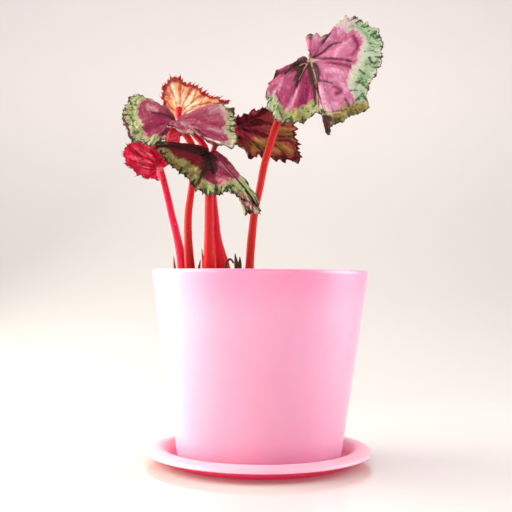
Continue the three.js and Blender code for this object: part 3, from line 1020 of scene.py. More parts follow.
def leaf(name, blade, ribs, strokes, border, tones, skins, seed, quilt=0.9, pitch=2.6,
         tooth=1.3, ruffle=1.0, curls=(), frills=(), bristle=(1.2, 0.06), fuzz=0):
    """The blade as a thin closed sheet with its teeth, sunk veins, quilting and bristles.

    ribs are the places on the rim where the main ribs end. strokes hold the main veins, the
    parts of them that are a pale line, and the dark, rich and light patches between them.
    border and tones give the width of the pale border and the depth of the heart's colour at
    places on the rim. Each of curls bends the margin: its middle and half its span on the rim,
    how far in it starts, how much margin it adds, its radius, and how far it turns, forward if
    that is above 0. Each of frills is a middle, half span, height and length. pitch and tooth
    are the length and height of the teeth, bristle is the length and half the width of the two
    bristles on each, and fuzz is how many hairs stand on the underside.
    """
    rng = np.random.default_rng(seed)
    sheet = Sheet(blade, ribs, strokes, rng, pitch, tooth, curls)
    sheet.lift(quilt, ruffle, frills)
    sheet.colour(border, tones, rng)
    points, faces, kinds = sheet.skinned()
    roots = np.repeat(sheet.points[-1, sheet.tips], 2, axis=0)
    ways = np.repeat(sheet.outward[-1, sheet.tips], 2, axis=0)
    spines = hairs(roots, ways, *bristle, rng)
    parts = [(points, faces), spines]
    kinds += [2] * len(spines[1])
    if fuzz:
        rows, across = sheet.along.shape
        row, column = rng.integers(4, rows, fuzz), rng.integers(0, across, fuzz)
        roots, ways = sheet.points[row, column], -sheet.normal[row, column]
        down = hairs(roots, ways, FUZZ_LENGTH, FUZZ_RADIUS, rng)
        parts.append(down)
        kinds += [2] * len(down[1])
    everything, all_faces = gathered(parts)
    made = piece(f"{name}_blade", everything * MM, all_faces, skins, kinds)
    dark, rich, light, line, tone = sheet.dark, sheet.rich, sheet.light, sheet.line, sheet.tone
    turned_over = np.clip(sheet.over / 1.5, 0, 1)
    store(made.data, "zones", (sheet.pale, 0), (dark, dark[0].mean()), (tone, tone.mean()))
    store(made.data, "dabs", (rich, rich[0].mean()), (light, light[0].mean()), (sheet.spots, 0))
    store(made.data, "rim", (sheet.marks, 0), (sheet.edge, 20), (sheet.out, 0))
    store(made.data, "veins", (sheet.rib_gap, 0), (sheet.side_gap, 3), (sheet.net_gap, 1))
    store(made.data, "folds", (line, line[0].mean()), (turned_over, 0), (sheet.pillow / quilt, 0))
    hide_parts(name)


class LeafFinish(Finish):
    """A leaf's skin. It reads off the mesh where the veins, the rim and the colour zones are."""

    def __init__(self, name, glow=0.0):
        numbers = {
            "IOR": 1.42,
            "Subsurface Weight": 0.15,
            "Subsurface Scale": 0.001,
            "Specular IOR Level": 0.16,
            "Emission Strength": glow,
        }
        super().__init__(name, numbers)
        self.pale, self.dark, self.tone = self.stored("zones")
        self.rich, self.light, self.spots = self.stored("dabs")
        self.marks, self.edge, self.out = self.stored("rim")
        self.rib, self.side, self.net = self.stored("veins")
        self.line, self.bent, self.pillow = self.stored("folds")
        self.here = self.place()
        self.patch = self.speckle(self.here, 240, 3, 0.55)

    def stored(self, title):
        numbers = self.node("ShaderNodeAttribute", {"attribute_name": title}, {}, "Vector")
        return [self.part(numbers, axis) for axis in range(3)]

    def spotty(self, mask, share, spread, noisy):
        """A mask at this share of its strength, more where it's noisy and less between."""
        return mask * (share + spread * (noisy - 0.5))

    def done(self, colour, shine):
        grain = self.speckle(self.here, 900, 3)
        self.feed("Base Color", colour)
        # A glow above 0 is a painted glow: the colour is fed to the emission too.
        if self.shader.inputs["Emission Strength"].default_value > 0:
            self.feed("Emission Color", colour)
        self.feed("Roughness", shine + 0.25 * grain)
        self.bump(grain + self.net.rise(0, 0.5) * 0.8, 0.5, 0.0004)
        return self.material


def variegated(name, **shades):
    """The upper face.

    Its heart is of one colour, deep near the ribs, with rich and light patches; the light ones are
    partly its own silver pink and partly painted highlights, and the tops of its pillows and a few fine
    glints are painted highlights too. Dark runs beside the ribs, and rib is the pale line on them. The
    border goes from pale to vivid green, olive where the leaf is older, with dark green marks. Along it
    the tooth colour edges the teeth, and turned is that of a margin that is bent over.
    """
    skin = LeafFinish(name)
    tint = tints(shades)
    patch, edge, mix, spotty = skin.patch, skin.edge, skin.mix, skin.spotty
    cloud = skin.speckle(skin.here, 120, 4, 0.65)
    fleck = skin.speckle(skin.here, 640, 2)

    colour = mix(skin.tone + 1.3 * (cloud - 0.5), tint.heart, tint.deep)
    # The light patches are partly the leaf's own silver pink and partly painted highlights.
    colour = mix(spotty(skin.light, 0.66, 0.7, patch), colour, tint.light)
    # Painted highlights on the tops of the raised pillows.
    pillow_highlight = skin.pillow.rise(0.4, 0.9) * patch.rise(0.5, 0.66)
    colour = mix(pillow_highlight * 0.3, colour, tint.light)
    # Painted glints, as of light on fine bumps, where the heart is less deep.
    colour = mix(fleck.rise(0.56, 0.7) * skin.tone.fall(0.3, 1.3) * 0.3, colour, tint.light)
    colour = mix(spotty(skin.rich, 0.85, 0.6, patch), colour, tint.rich)
    colour = mix(skin.side.fall(0.1, 0.7) * 0.3, colour, tint.deep)
    colour = mix(skin.net.fall(0.02, 0.3) * 0.25, colour, tint.deep)

    mint = (0.43 + 1.3 * (cloud - 0.4) + 0.5 * (patch - 0.5)).rise(0, 1) * edge.fall(7, 12)
    green = mix(mint * edge.rise(0.8, 2.5), tint.border, tint.vivid)
    aged = skin.tone.rise(0.5, 1.0) * (0.6 + 1.2 * (cloud - 0.5)).rise(0.2, 0.8)
    green = mix(aged, green, tint.olive)
    moss = (fleck + 0.8 * (patch - 0.5)).rise(0.54, 0.66) * edge.rise(1, 2) * edge.fall(6, 10)
    green = mix(moss * 0.7, green, mix(0.4, tint.vivid, tint.mark))
    isles = fleck.rise(0.55, 0.62) * patch.rise(0.48, 0.55) * edge.fall(5, 10)
    green = mix(isles * 0.85, green, tint.mark)
    # Painted highlights as pale flecks on the raised pillows of the border.
    pillow_flecks = fleck.fall(0.36, 0.44) * skin.pillow.rise(0.3, 0.8)
    green = mix(pillow_flecks * 0.6, green, tint.light)
    blush = mix(0.55, tint.border, tint.light)
    green = mix(skin.light * patch.rise(0.3, 0.5) * 0.9, green, blush)
    halo = skin.pale.rise(0.02, 0.3) * skin.pale.fall(0.5, 0.95) * skin.tone.fall(0.4, 1)
    beside_ribs = skin.dark.fall(0.3, 1)
    colour = mix(skin.pale * beside_ribs, colour, green)
    colour = mix(halo * beside_ribs * 0.6, colour, blush)

    turned_over = mix(patch.rise(0.53, 0.62), tint.turned, tint.olive)
    turned_over = mix(cloud.rise(0.47, 0.62) * 0.6, turned_over, tint.dark)
    turned_over = mix(fleck.rise(0.52, 0.62) * 0.6, turned_over, tint.mark)
    colour = mix(skin.bent, colour, turned_over)

    blot = skin.marks * edge.fall(3, 7) * skin.pale.rise(0.2, 0.6) * 0.95
    colour = mix(blot, colour, tint.mark)
    colour = mix(spotty(skin.dark, 0.88, 0.5, fleck), colour, tint.dark)
    colour = mix(spotty(skin.spots, 0.85, 0.6, fleck), colour, tint.mark)
    colour = mix(skin.line * 0.95, colour, tint.rib)
    ragged = edge + 1.6 * (patch - 0.5) + 1.2 * (fleck - 0.5)
    worn = 0.4 + 0.55 * patch.rise(0.44, 0.54)
    colour = mix(ragged.fall(0.4, 1.1) * worn, colour, tint.tooth)
    return skin.done(colour, 0.36)


def underside(name, width, glow=0.0, veins=0.6, **shades):
    """The lower face, which lets a little light through, with a painted glow as strong as glow that
    adds to it.

    It goes from its middle colour at the hub to the outer one and a border of this width, with
    rich and light patches, the light ones partly painted highlights, and its veins stand out darker.
    """
    skin = LeafFinish(name, glow)
    tint = tints(shades)
    patch, mix, spotty = skin.patch, skin.mix, skin.spotty
    cloud = skin.speckle(skin.here, 120, 4, 0.6)
    fleck = skin.speckle(skin.here, 520, 2)
    outward = skin.tone * skin.out.rise(0.1, 0.7) + 0.9 * (cloud - 0.5)
    colour = mix(outward, tint.middle, tint.outer)
    # The light patches are partly painted highlights.
    colour = mix(spotty(skin.light, 0.85, 0.6, patch), colour, tint.light)
    colour = mix(spotty(skin.rich, 0.85, 0.6, patch), colour, tint.rich)
    band = skin.edge + 1.8 * skin.pillow + 3 * (cloud - 0.5)
    colour = mix(band.fall(width * 0.5, width * 1.1), colour, tint.border)
    colour = mix(skin.side.fall(0.15, 0.8) * veins, colour, tint.vein)
    colour = mix(skin.net.fall(0.02, 0.25) * 0.4 * veins, colour, tint.vein)
    colour = mix(spotty(skin.dark, 0.9, 0.5, fleck), colour, tint.vein)
    ragged = skin.edge + 1.0 * (fleck - 0.5)
    colour = mix(ragged.fall(0.2, 0.9) * 0.8, colour, tint.vein)
    return skin.done(colour, 0.45)


def bristly(name, colour):
    finish = Finish(name, {"Roughness": 0.45})
    cloud = finish.speckle(finish.place(), 400, 2)
    finish.feed("Base Color", finish.mix(cloud, colour, paint(60, 30, 30)))
    return finish.material


dark_bristle = bristly("dark_bristle", paint(96, 54, 52))
red_bristle = bristly("red_bristle", paint(196, 20, 50))

# Upper right leaf
# The largest and oldest leaf, facing the viewer: mauve and pink, darkest beside its ribs. Its
# lower right margin is bent back, and its tip hangs down, painted dark for the shade it hangs in.
UPPER_RIGHT_RIM = [
    (26, -8, 258), (17, -10, 251.5), (9, -11, 248), (3, -12, 238), (3, -13, 229), (8, -16, 217),
    (17, -18, 214), (26, -19, 215), (34, -22, 219.5), (38.4, -24, 218.5), (41.8, -26, 205.5),
    (44.4, -24.5, 214.5), (48, -23, 216), (56, -22, 221.5), (67, -18, 226), (68, -15, 236),
    (75, -12, 251), (78, -10, 260), (78, -5, 273), (70, 1, 284), (56, 5, 290), (51, 3, 283),
    (46, 1.5, 277.6), (39, 0, 276), (31.6, -2, 275.5), (31.8, -4, 266),
]
UPPER_RIGHT_STROKES = {
    "lines": [
        [(31.5, 259), (38.5, 263.5), (44.5, 268), (52, 270.5), (60.5, 275)],
        [(32.5, 260), (37.5, 264.5), (44, 270.5), (53.5, 279)],
        [(31.5, 261), (35.5, 266.5), (39.5, 272)],
        [(33, 257.5), (40.5, 259), (50.5, 259.5), (58, 257.5), (71.5, 257)],
        [(31, 256.5), (33.5, 251), (35, 244.5), (35.5, 238.5), (36.5, 232), (37, 223.5)],
        [(35.5, 244.5), (41.5, 245), (48, 241.5), (55, 234.5)],
        [(29, 255.5), (26, 249), (23, 242.5), (20.5, 233.5), (18, 224)],
        [(28, 256.5), (22, 254.5), (16.5, 250.5), (8.5, 242.5)],
        [(26.5, 253.5), (23.5, 248.5), (19, 243.5), (12, 231.5)],
    ],
    "line": [
        [(31, 257.5, 1.2), (31.5, 256.5, 0.9), (33.5, 251, 0.5), (35, 244.5, 0.4), (35.5, 238.5, 0.4),
         (36, 231.5, 0.3), (36.5, 225, 0.2)],
        [(29.8, 258.3, 1.1), (32, 258, 1.5), (34.5, 258.4, 0.5), (38, 258.8, 0.1)],
        [(29, 255.5, 0.4), (26.5, 250.5, 0.3), (24, 245.5, 0.2)],
        [(28.5, 256.5, 0.4), (24.5, 255, 0.2)], [(38.5, 223, 0.2), (46, 224, 0.3), (51, 225.5, 0.2)],
    ],
    "dark": [
        [(31.5, 253.5, 1.8), (32.7, 246.5, 1.9), (33.8, 239, 0.8), (34.8, 230, 0.2)],
        [(36, 249, 0.8), (36.4, 240, 0.4), (37, 230, 0.2), (37.2, 224, 0.3)],
        [(36, 259, 0.3), (44, 259.6, 0.35), (52, 259, 0.25), (58, 257.8, 0.2)],
        [(31.5, 271, 0.3), (32, 275.6, 1), (38, 276, 0.3)],
        [(34, 254.5, 1.7), (36, 250, 1.6), (36.5, 243.5, 0.6)],
        [(27, 253.5, 1.9), (24.5, 248, 1.7), (22.5, 241.5, 0.8)],
        [(25, 255.5, 1.7), (20, 253, 1.7), (15.5, 249.5, 0.6)],
        [(28.5, 258.5, 1), (24.5, 257.5, 1.2), (21, 256, 0.8)],
        [(23.5, 252.5, 1), (22.5, 248, 0.9), (21, 244.5, 0.4)],
        [(35.5, 245, 0.6), (41.5, 244.5, 0.6), (45, 243.5, 0.3)],
        [(33.5, 259.5, 0.9), (39.5, 263.5, 0.6), (45, 268.5, 0.4), (51, 270, 0.2)],
        # The hanging tip: painted shade.
        [(38.5, 222.5, 0.6), (40.5, 219.5, 2), (42, 214, 4), (42, 207, 4.5)],
        [(42, 222, 1.3), (46.5, 219, 1.5), (51, 217.5, 1)],
        [(37.5, 223, 0.3), (47.5, 224.5, 0.3), (55, 227.5, 0.3)],
    ],
    "rich": [
        [(28, 248.5, 1), (28, 239.5, 3.2), (26, 228.5, 3.2)],
        [(42, 256.5, 0.6), (49, 256, 1), (57, 254.5, 1.2)],
        [(59, 273.5, 1), (62, 267.5, 1.1), (58, 261.5, 0.4)],
        [(47, 241, 0.8), (51, 238.5, 1.5), (48, 236.5, 1)],
        [(5.5, 244.5, 1), (9, 249, 1), (15.5, 250.5, 0.6)], [(33, 232, 1.3), (35, 227.5, 1.5)],
        [(9.5, 237, 0.6), (12, 229, 0.9)], [(41.5, 259.5, 0.4), (53.5, 258.5, 0.6), (60.5, 257, 0.4)],
    ],
    "light": [
        [(24, 241, 0.4), (21, 233, 0.9), (17.5, 226.5, 1.2)],
        [(40.5, 251, 1), (48, 251, 1.4), (56, 248.5, 1.4)],
        [(38.5, 240, 1), (41, 231, 3.6), (48, 228, 2.6)],
        [(46, 246, 1), (50, 246, 1.6), (54, 239, 1.8)],
        [(46.5, 260, 0.6), (50, 266, 1), (56.5, 270.5, 0.8)],
        [(50, 276.5, 1.8), (54, 283, 3), (60, 283.5, 2)], [(35, 271.5, 1.3), (44, 272, 1)],
        [(13.5, 246, 0.6), (10, 238, 0.8)],
    ],
    "spots": [
        [(60.5, 244.5, 0.4), (65, 243.5, 0.8), (69, 241, 0.4)], [(63, 252, 0.5), (66, 249.5, 0.6)],
        [(69, 260, 0.5), (72, 256.5, 0.8), (74.5, 258.5, 0.4)], [(53.5, 234, 0.4), (55.5, 229.5, 0.9)],
        [(58, 229.5, 0.6), (63.5, 234.5, 0.8), (65, 237, 0.4)], [(70, 274.5, 0.4), (73.5, 276, 0.5)],
        [(66.5, 264, 0.3), (71.5, 264.5, 0.4)], [(12, 224, 0.6), (13.5, 219.5, 0.5)],
        [(8.5, 228.5, 0.4), (7.5, 224.5, 0.4)], [(27.5, 219, 0.9), (32.5, 217.5, 0.8)],
        [(68, 269.5, 0.3), (71, 269, 0.3)], [(47, 217, 0.9), (52, 218.5, 1.1), (56, 216.5, 0.6)],
        [(57, 238.5, 0.2), (60.5, 239, 0.3)],
    ],
}
UPPER_RIGHT_BORDER = [
    (0, 0), (3.4, 0), (4.2, 5), (5.5, 8), (8.5, 7), (9, 5), (10, 12), (11, 6), (12, 4), (13, 3),
    (14, 12), (15, 14), (16, 14), (17, 13), (18, 12), (19, 9), (20, 7), (20.6, 5), (21.3, 1), (24, 0),
]
UPPER_RIGHT_TONES = [
    (0, 0.6), (3, 0.5), (4, 0.6), (5.4, 0.95), (8.6, 0.95), (9, 0.2), (12, 0), (18, 0.05), (20, 0.15),
    (24, 0.3),
]
upper_right = Blade(
    hub=(31, -7, 257), rim=UPPER_RIGHT_RIM, veins=[0, 2.4, 5.4, 8.6, 15.6, 18.8, 25], arch=3.5, puff=2,
    wave=1, split=3,
)
mauve_face = variegated(
    "mauve_face", heart=(216, 126, 162), deep=(168, 62, 102), rich=(124, 10, 66), light=(244, 186, 210),
    dark=(70, 48, 36), rib=(240, 206, 176), border=(216, 216, 194), vivid=(128, 176, 116),
    olive=(168, 156, 92), mark=(40, 78, 34), tooth=(66, 38, 42), turned=(166, 142, 80),
)
mauve_back = underside(
    "mauve_back", middle=(110, 40, 44), outer=(120, 84, 40), border=(122, 108, 44), vein=(70, 40, 30),
    rich=(120, 60, 60), light=(140, 96, 60), width=8,
)
leaf(
    "leaf_upper_right", upper_right, [2.4, 4, 5.4, 8.8, 13.5, 16.4, 18.7, 21.3], UPPER_RIGHT_STROKES,
    UPPER_RIGHT_BORDER, UPPER_RIGHT_TONES, [mauve_face, mauve_back, dark_bristle],
    seed=3, quilt=1.2, curls=[(12.5, 2.2, 6.5, 4.0, 1.6, -1.1)],
)

# Middle leaf
# A bronze leaf behind the middle of the plant, seen from below: dark maroon at its hub, and
# golden brown and olive further out.
MIDDLE_RIM = [
    (-20, 19, 224), (-14, 21, 227), (-7, 24, 230), (0, 28, 233.2), (8, 30, 237), (19, 30, 233),
    (24, 28, 223), (25, 25, 212.5), (28, 20, 196.5), (19, 19, 196.5), (10, 18, 198), (-1, 17, 199.8),
    (-5.5, 16, 198.6), (-12, 17, 204.5), (-17, 18, 207.5), (-20, 19, 213.5),
]
MIDDLE_STROKES = {
    "lines": [
        [(-15.5, 222.5), (-7.5, 224), (0.5, 222.5), (10, 222.5), (21, 220)],
        [(-14, 219.5), (-7.5, 217), (-0.5, 213.5), (6, 211), (19.5, 210), (24.5, 206.5)],
        [(-15, 219.5), (-13, 213), (-7.5, 207), (-5.5, 200)],
        [(-15.5, 223), (-9, 226), (-2, 228.5), (3, 233.5)],
        [(2, 213), (9, 207.5), (14, 203), (17.5, 197)],
        [(-7.5, 217), (-3.5, 210.5), (0.5, 205), (2, 199.5)], [(6, 211), (15.5, 214), (24, 214.5)],
    ],
    "dark": [
        [(-15.5, 223, 3.1), (-7.5, 223, 3.4), (-0.5, 223, 2)],
        [(-14, 219, 1.6), (-7.5, 217, 1.6), (0.5, 214.5, 1.6), (7.5, 212, 0.9)],
        [(-15.5, 212.5, 1.2), (-11, 210.5, 0.6), (-6.5, 206.5, 0.4)],
        [(-11.5, 226, 0.9), (-3.5, 227, 1.3), (3, 232, 2)],
        [(-0.5, 222.5, 0.8), (7.5, 221.5, 0.6), (15.5, 221, 0.3)],
        [(9, 210.5, 0.6), (19.5, 210, 0.6), (24.5, 206, 0.5)], [(11.5, 213, 0.3), (19.5, 213, 0.3)],
        [(9.5, 207, 0.4), (14, 203, 0.5), (17, 198.5, 0.9)],
        [(19.5, 210, 0.4), (22.5, 204.5, 0.4), (23.5, 199.5, 0.8)],
        [(24, 218.5, 0.5), (24.5, 210.5, 0.9), (25.5, 198.5, 1.3)],
        [(-2.5, 205.5, 0.3), (0, 203, 0.6), (1, 199.5, 0.7)],
        [(-17, 207.5, 0.4), (-8.5, 201.5, 0.8), (-5.5, 198, 1.3), (1, 199.5, 0.9), (8, 198, 1.1),
         (13, 199, 0.8), (18.5, 197, 1.3), (24.5, 198.5, 1.1)],
    ],
    "rich": [
        [(-2, 208, 1.2), (2, 207, 1.5)], [(14, 215.5, 1.3), (23, 213, 1.6)],
        [(16, 205, 0.8), (20.5, 202.5, 1)], [(-8, 208.5, 1.1), (-3.5, 206.5, 0.8)],
        [(8, 209, 0.5), (14, 207.5, 0.9)], [(3, 203, 0.9), (6.5, 201.5, 1.1)],
    ],
    "light": [
        [(-5.5, 203.5, 1.3), (-0.5, 204.5, 1.3)], [(7, 204.5, 1.8), (11.5, 203, 1.8)],
        [(15, 206.5, 0.8), (21, 203, 1.1)], [(12, 218, 1.2), (21, 217.5, 0.9)],
        [(-6, 211.5, 0.6), (2, 209.5, 1.2)],
    ],
}
MIDDLE_BORDER = [(0, 0), (2, 4), (13, 5), (15, 0)]
MIDDLE_TONES = [(0, 0.1), (4, 0.3), (6, 0.8), (8, 1.1), (11, 1.1), (13, 0.7), (15, 0.4)]
middle_leaf = Blade(
    hub=(-17, 21, 219.5), rim=MIDDLE_RIM, veins=[0, 3, 6, 8, 11, 15], arch=4, puff=2, wave=0.6, split=4,
)
bronze_face = variegated(
    "bronze_face", heart=(196, 116, 146), deep=(140, 56, 86), rich=(120, 30, 70), light=(226, 176, 190),
    dark=(74, 46, 38), rib=(150, 120, 96), border=(190, 200, 160), vivid=(140, 180, 120),
    olive=(130, 140, 80), mark=(56, 84, 44), tooth=(70, 40, 36), turned=(90, 80, 40),
)
bronze_back = underside(
    "bronze_back", middle=(150, 26, 54), outer=(168, 80, 62), border=(110, 8, 18), vein=(70, 0, 18),
    rich=(132, 122, 36), light=(198, 152, 86), width=1.6, glow=0.26, veins=0.4,
)
leaf(
    "leaf_middle", middle_leaf, [3, 6, 7.4, 9, 12], MIDDLE_STROKES, MIDDLE_BORDER, MIDDLE_TONES,
    [bronze_face, bronze_back, dark_bristle], seed=5, ruffle=1.1, tooth=2.8,
    pitch=3.0, frills=[(10.5, 3.5, 1.0, 5)],
)

# Lower left leaf
# A small young leaf, cupped, seen from below: crimson, with dark red veins. Its teeth end in
# thick bristles, and short hairs stand on its underside.
LOWER_LEFT_RIM = [
    (-64, 3, 183.5), (-73, 1, 181.5), (-80, 1, 184.5), (-87, 2, 189.5), (-91, 4, 199), (-87, 7, 207),
    (-80, 9, 211), (-73, 10, 213), (-67, 9, 209), (-63, 8, 201), (-61, 6, 194),
]
LOWER_LEFT_STROKES = {
    "lines": [
        [(-67.5, 190), (-72.5, 193.5), (-79, 196), (-89, 199)],
        [(-68, 189.5), (-74, 191), (-80.5, 192.5), (-88.5, 194)],
        [(-67.5, 191.5), (-70.5, 197.5), (-75.5, 201.5), (-82, 204)],
        [(-66.5, 192), (-68, 198), (-71.5, 202.5)], [(-68, 188), (-75, 188), (-83, 189.5)],
        [(-67.5, 187), (-72, 185), (-77, 184)],
    ],
    "dark": [
        [(-68, 191, 1), (-72.5, 194, 0.7), (-79, 196, 0.3), (-86, 198, 0.2)],
        [(-68.5, 189.5, 0.7), (-74.5, 191, 0.5), (-81, 192.5, 0.3), (-86.5, 194, 0.2)],
        [(-68, 192, 0.8), (-70.5, 197.5, 0.5), (-75.5, 201, 0.3)],
        [(-66.5, 193, 0.7), (-68, 198, 0.4), (-70.5, 201.5, 0.2)],
        [(-68.5, 188, 0.5), (-75, 188, 0.3), (-82, 189.5, 0.2)],
        [(-72.5, 194, 0.3), (-76, 198.5, 0.2), (-80, 201, 0.2)],
        [(-78.5, 195.5, 0.2), (-82.5, 200, 0.2)], [(-77, 192, 0.2), (-81, 189, 0.2)],
        [(-76, 195, 0.2), (-80, 193.5, 0.2)], [(-83, 197.5, 0.2), (-86.5, 201, 0.2)],
    ],
    "rich": [
        [(-72.5, 200.5, 0.7), (-67.5, 196, 1), (-65.5, 191.5, 1.2)],
        [(-72.5, 186, 1), (-67.5, 186.5, 1)],
    ],
    "light": [
        [(-72.5, 197.5, 0.8), (-78, 199.5, 0.8), (-83, 202.5, 0.7)],
        [(-72.5, 192, 0.6), (-79, 194, 0.7), (-85.5, 196.5, 0.6)],
        [(-74, 189.5, 0.6), (-80.5, 191, 0.7)], [(-71.5, 200, 0.7), (-74.5, 202.5, 0.6)],
        [(-74.5, 186, 0.7), (-78.5, 187, 0.7)],
    ],
}
LOWER_LEFT_BORDER = [(0, 0), (2, 2.5), (8, 2.5), (10, 0)]
LOWER_LEFT_TONES = [(0, 0.6), (10, 0.6)]
lower_left = Blade(
    hub=(-66, 4, 189), rim=LOWER_LEFT_RIM, veins=[0, 2, 4, 6, 8, 10], arch=2.5, puff=1.4, wave=0.6,
    split=4,
)
crimson_face = variegated(
    "crimson_face", heart=(206, 116, 142), deep=(160, 50, 84), rich=(150, 30, 70),
    light=(230, 170, 186), dark=(90, 30, 36), rib=(170, 90, 90), border=(196, 186, 150),
    vivid=(160, 180, 130), olive=(150, 150, 110), mark=(80, 70, 50), tooth=(110, 20, 30),
    turned=(120, 60, 50),
)
crimson_back = underside(
    "crimson_back", middle=(226, 12, 60), outer=(240, 52, 94), border=(232, 30, 72), vein=(124, 0, 24),
    rich=(222, 12, 76), light=(255, 130, 146), width=2.4, glow=0.4, veins=0.5,
)
leaf(
    "leaf_lower_left", lower_left, [2, 4, 6, 8], LOWER_LEFT_STROKES, LOWER_LEFT_BORDER,
    LOWER_LEFT_TONES, [crimson_face, crimson_back, red_bristle], seed=7, pitch=2.0,
    tooth=2.2, bristle=(1.8, 0.12), fuzz=160, quilt=1.0, frills=[(5, 6, 0.8, 3.4)],
)

# Saddle leaf
# A leaf folded down on both sides of its stalk, so that its upper face shows as two wings. Below
# the right wing's lower fold hangs a narrow strip of its margin.
SADDLE_RIM = [
    (-60.5, -12, 214.5), (-51, -16, 209.4), (-38, -20, 205), (-28, -24, 199.5), (-19, -26, 198),
    (-14.5, -22, 201.5), (-16, -14, 211), (-16, -6, 220.5), (-19, 0, 227.5), (-27, 5, 232),
    (-36, 7, 227.5), (-45, 7, 222.5), (-51.5, 9, 212), (-55.5, 11, 203), (-64, 9, 204.5), (-62, 6, 224),
    (-70, 6, 231), (-77, 5, 235), (-84, 3, 237.5), (-89, -2, 228.5), (-90.5, -6, 219.5),
    (-86, -12, 210), (-83.5, -16, 204), (-75, -19, 200.5), (-68, -20, 199.5), (-61.5, -17, 205),
]
SADDLE_STROKES = {
    "lines": [
        [(-56, 218), (-62.5, 222.5), (-70.5, 224.5), (-79.5, 228.5)],
        [(-57, 217.5), (-65, 219), (-75, 220.5), (-86, 223)],
        [(-57.5, 216.5), (-65, 216), (-74, 213.5), (-82.5, 210)],
        [(-58, 216), (-64, 212.5), (-70.5, 207.5), (-74, 201.5)],
        [(-53.5, 218), (-42.5, 221.5), (-33, 225), (-26, 229)],
        [(-53.5, 217.5), (-42.5, 218), (-31.5, 219), (-20, 221)],
        [(-53, 216.5), (-41.5, 215), (-30.5, 211.5), (-19, 208.5)],
        [(-52.5, 216), (-43.5, 211.5), (-33, 207), (-22.5, 203.5)],
    ],
    "line": [
        [(-60.5, 214.5, 0.4), (-56.5, 213.6, 0.4), (-51, 210.8, 0.4), (-45, 208, 0.5),
         (-37, 207.4, 0.5), (-26.5, 204.5, 0.4), (-17.5, 202, 0.3)],
    ],
    "dark": [
        [(-55, 219, 1), (-61.5, 222, 0.9), (-70.5, 224, 0.5)],
        [(-55, 213.5, 1), (-58.5, 213.5, 1.3), (-64, 210, 1)], [(-53, 210, 0.8), (-49.5, 208.5, 1)],
        [(-34, 205, 0.5), (-25, 202, 0.6)],
        [(-65, 203.5, 1.2), (-69.5, 201, 1)], [(-89.5, 221, 0.4), (-85.5, 212, 0.4), (-84, 205.5, 0.5)],
        [(-84.5, 235, 0.5), (-89, 226.5, 0.4)], [(-21.5, 228, 0.6), (-18, 223.5, 0.6)],
    ],
    "rich": [
        [(-42, 220.5, 0.9), (-34.5, 217.5, 1), (-25.5, 215, 1)],
        [(-42, 213, 0.9), (-31.5, 210, 1.2), (-23.5, 207, 1)],
        [(-65, 220, 1.9), (-71.5, 217, 2.3), (-74, 209.5, 1.7)],
        [(-62.5, 218.5, 1.7), (-67.5, 213.5, 1.7)],
    ],
    "light": [
        [(-33, 225, 1.9), (-26.5, 226.5, 2.3), (-24, 222.5, 2)], [(-34.5, 214, 0.8), (-25, 211.5, 1)],
        [(-48.5, 216, 1), (-42, 213.5, 0.9)], [(-73, 227.5, 1.5), (-68, 225, 1)],
        [(-51.5, 217, 1), (-47, 216.5, 1)],
    ],
    "spots": [
        [(-88.5, 226, 0.5), (-85, 225, 0.3)], [(-87, 222, 0.6), (-83, 221.5, 0.3)],
        [(-86, 216, 0.5), (-82.5, 214.5, 0.3)], [(-82.5, 210, 0.6), (-79.5, 210.5, 0.5)],
        [(-84.5, 205.5, 0.5), (-80, 206, 0.3)], [(-83.5, 229.5, 0.3), (-80.5, 228.5, 0.3)],
        [(-78, 203.5, 0.4), (-75.5, 205, 0.3)], [(-23, 226.5, 0.3), (-21, 224.5, 0.4)],
        [(-20, 221.5, 0.4), (-18, 219.5, 0.4)], [(-21.5, 213, 0.3), (-18, 213.5, 0.3)],
        [(-49.5, 209.5, 0.5), (-46.5, 207.5, 0.5)],
    ],
}
SADDLE_BORDER = [
    (0, 0), (0.8, 0.5), (1.4, 1), (2.4, 2), (3, 0.8), (4, 2.5), (5, 5), (6, 6), (7, 6), (8, 5),
    (9, 1.6), (10, 0.6), (11, 0), (15.6, 0), (16.6, 2), (18, 7), (19, 8), (20, 9.6), (21, 8), (22, 7),
    (23, 4.4), (24, 4), (25, 1),
]
SADDLE_TONES = [(0, 0.5), (4, 0.4), (9, 0.2), (11, 0.4), (13, 0.8), (16, 0.6), (20, 0.5), (25, 0.7)]
saddle = Blade(
    hub=(-55, -6, 217.5), rim=SADDLE_RIM, veins=[0, 3, 5, 7, 9.5, 13, 17.5, 19.5, 22.5, 25], arch=2,
    puff=1.8, wave=0.8, split=3,
)
saddle_face = variegated(
    "saddle_face", heart=(186, 88, 114), deep=(138, 44, 68), rich=(152, 32, 78), light=(222, 170, 180),
    dark=(88, 26, 42), rib=(240, 214, 206), border=(202, 198, 160), vivid=(156, 164, 104),
    olive=(150, 142, 96), mark=(52, 52, 34), tooth=(74, 40, 44), turned=(96, 60, 60),
)
saddle_back = underside(
    "saddle_back", middle=(220, 44, 64), outer=(236, 84, 98), border=(150, 40, 60), vein=(150, 8, 34),
    rich=(200, 24, 54), light=(250, 140, 140), width=3, glow=0.2, veins=0.6,
)
leaf(
    "leaf_saddle", saddle, [3, 5, 7, 9.5, 13, 16.5, 19.5, 21.5, 24], SADDLE_STROKES, SADDLE_BORDER,
    SADDLE_TONES, [saddle_face, saddle_back, dark_bristle], seed=9, quilt=1.0,
)
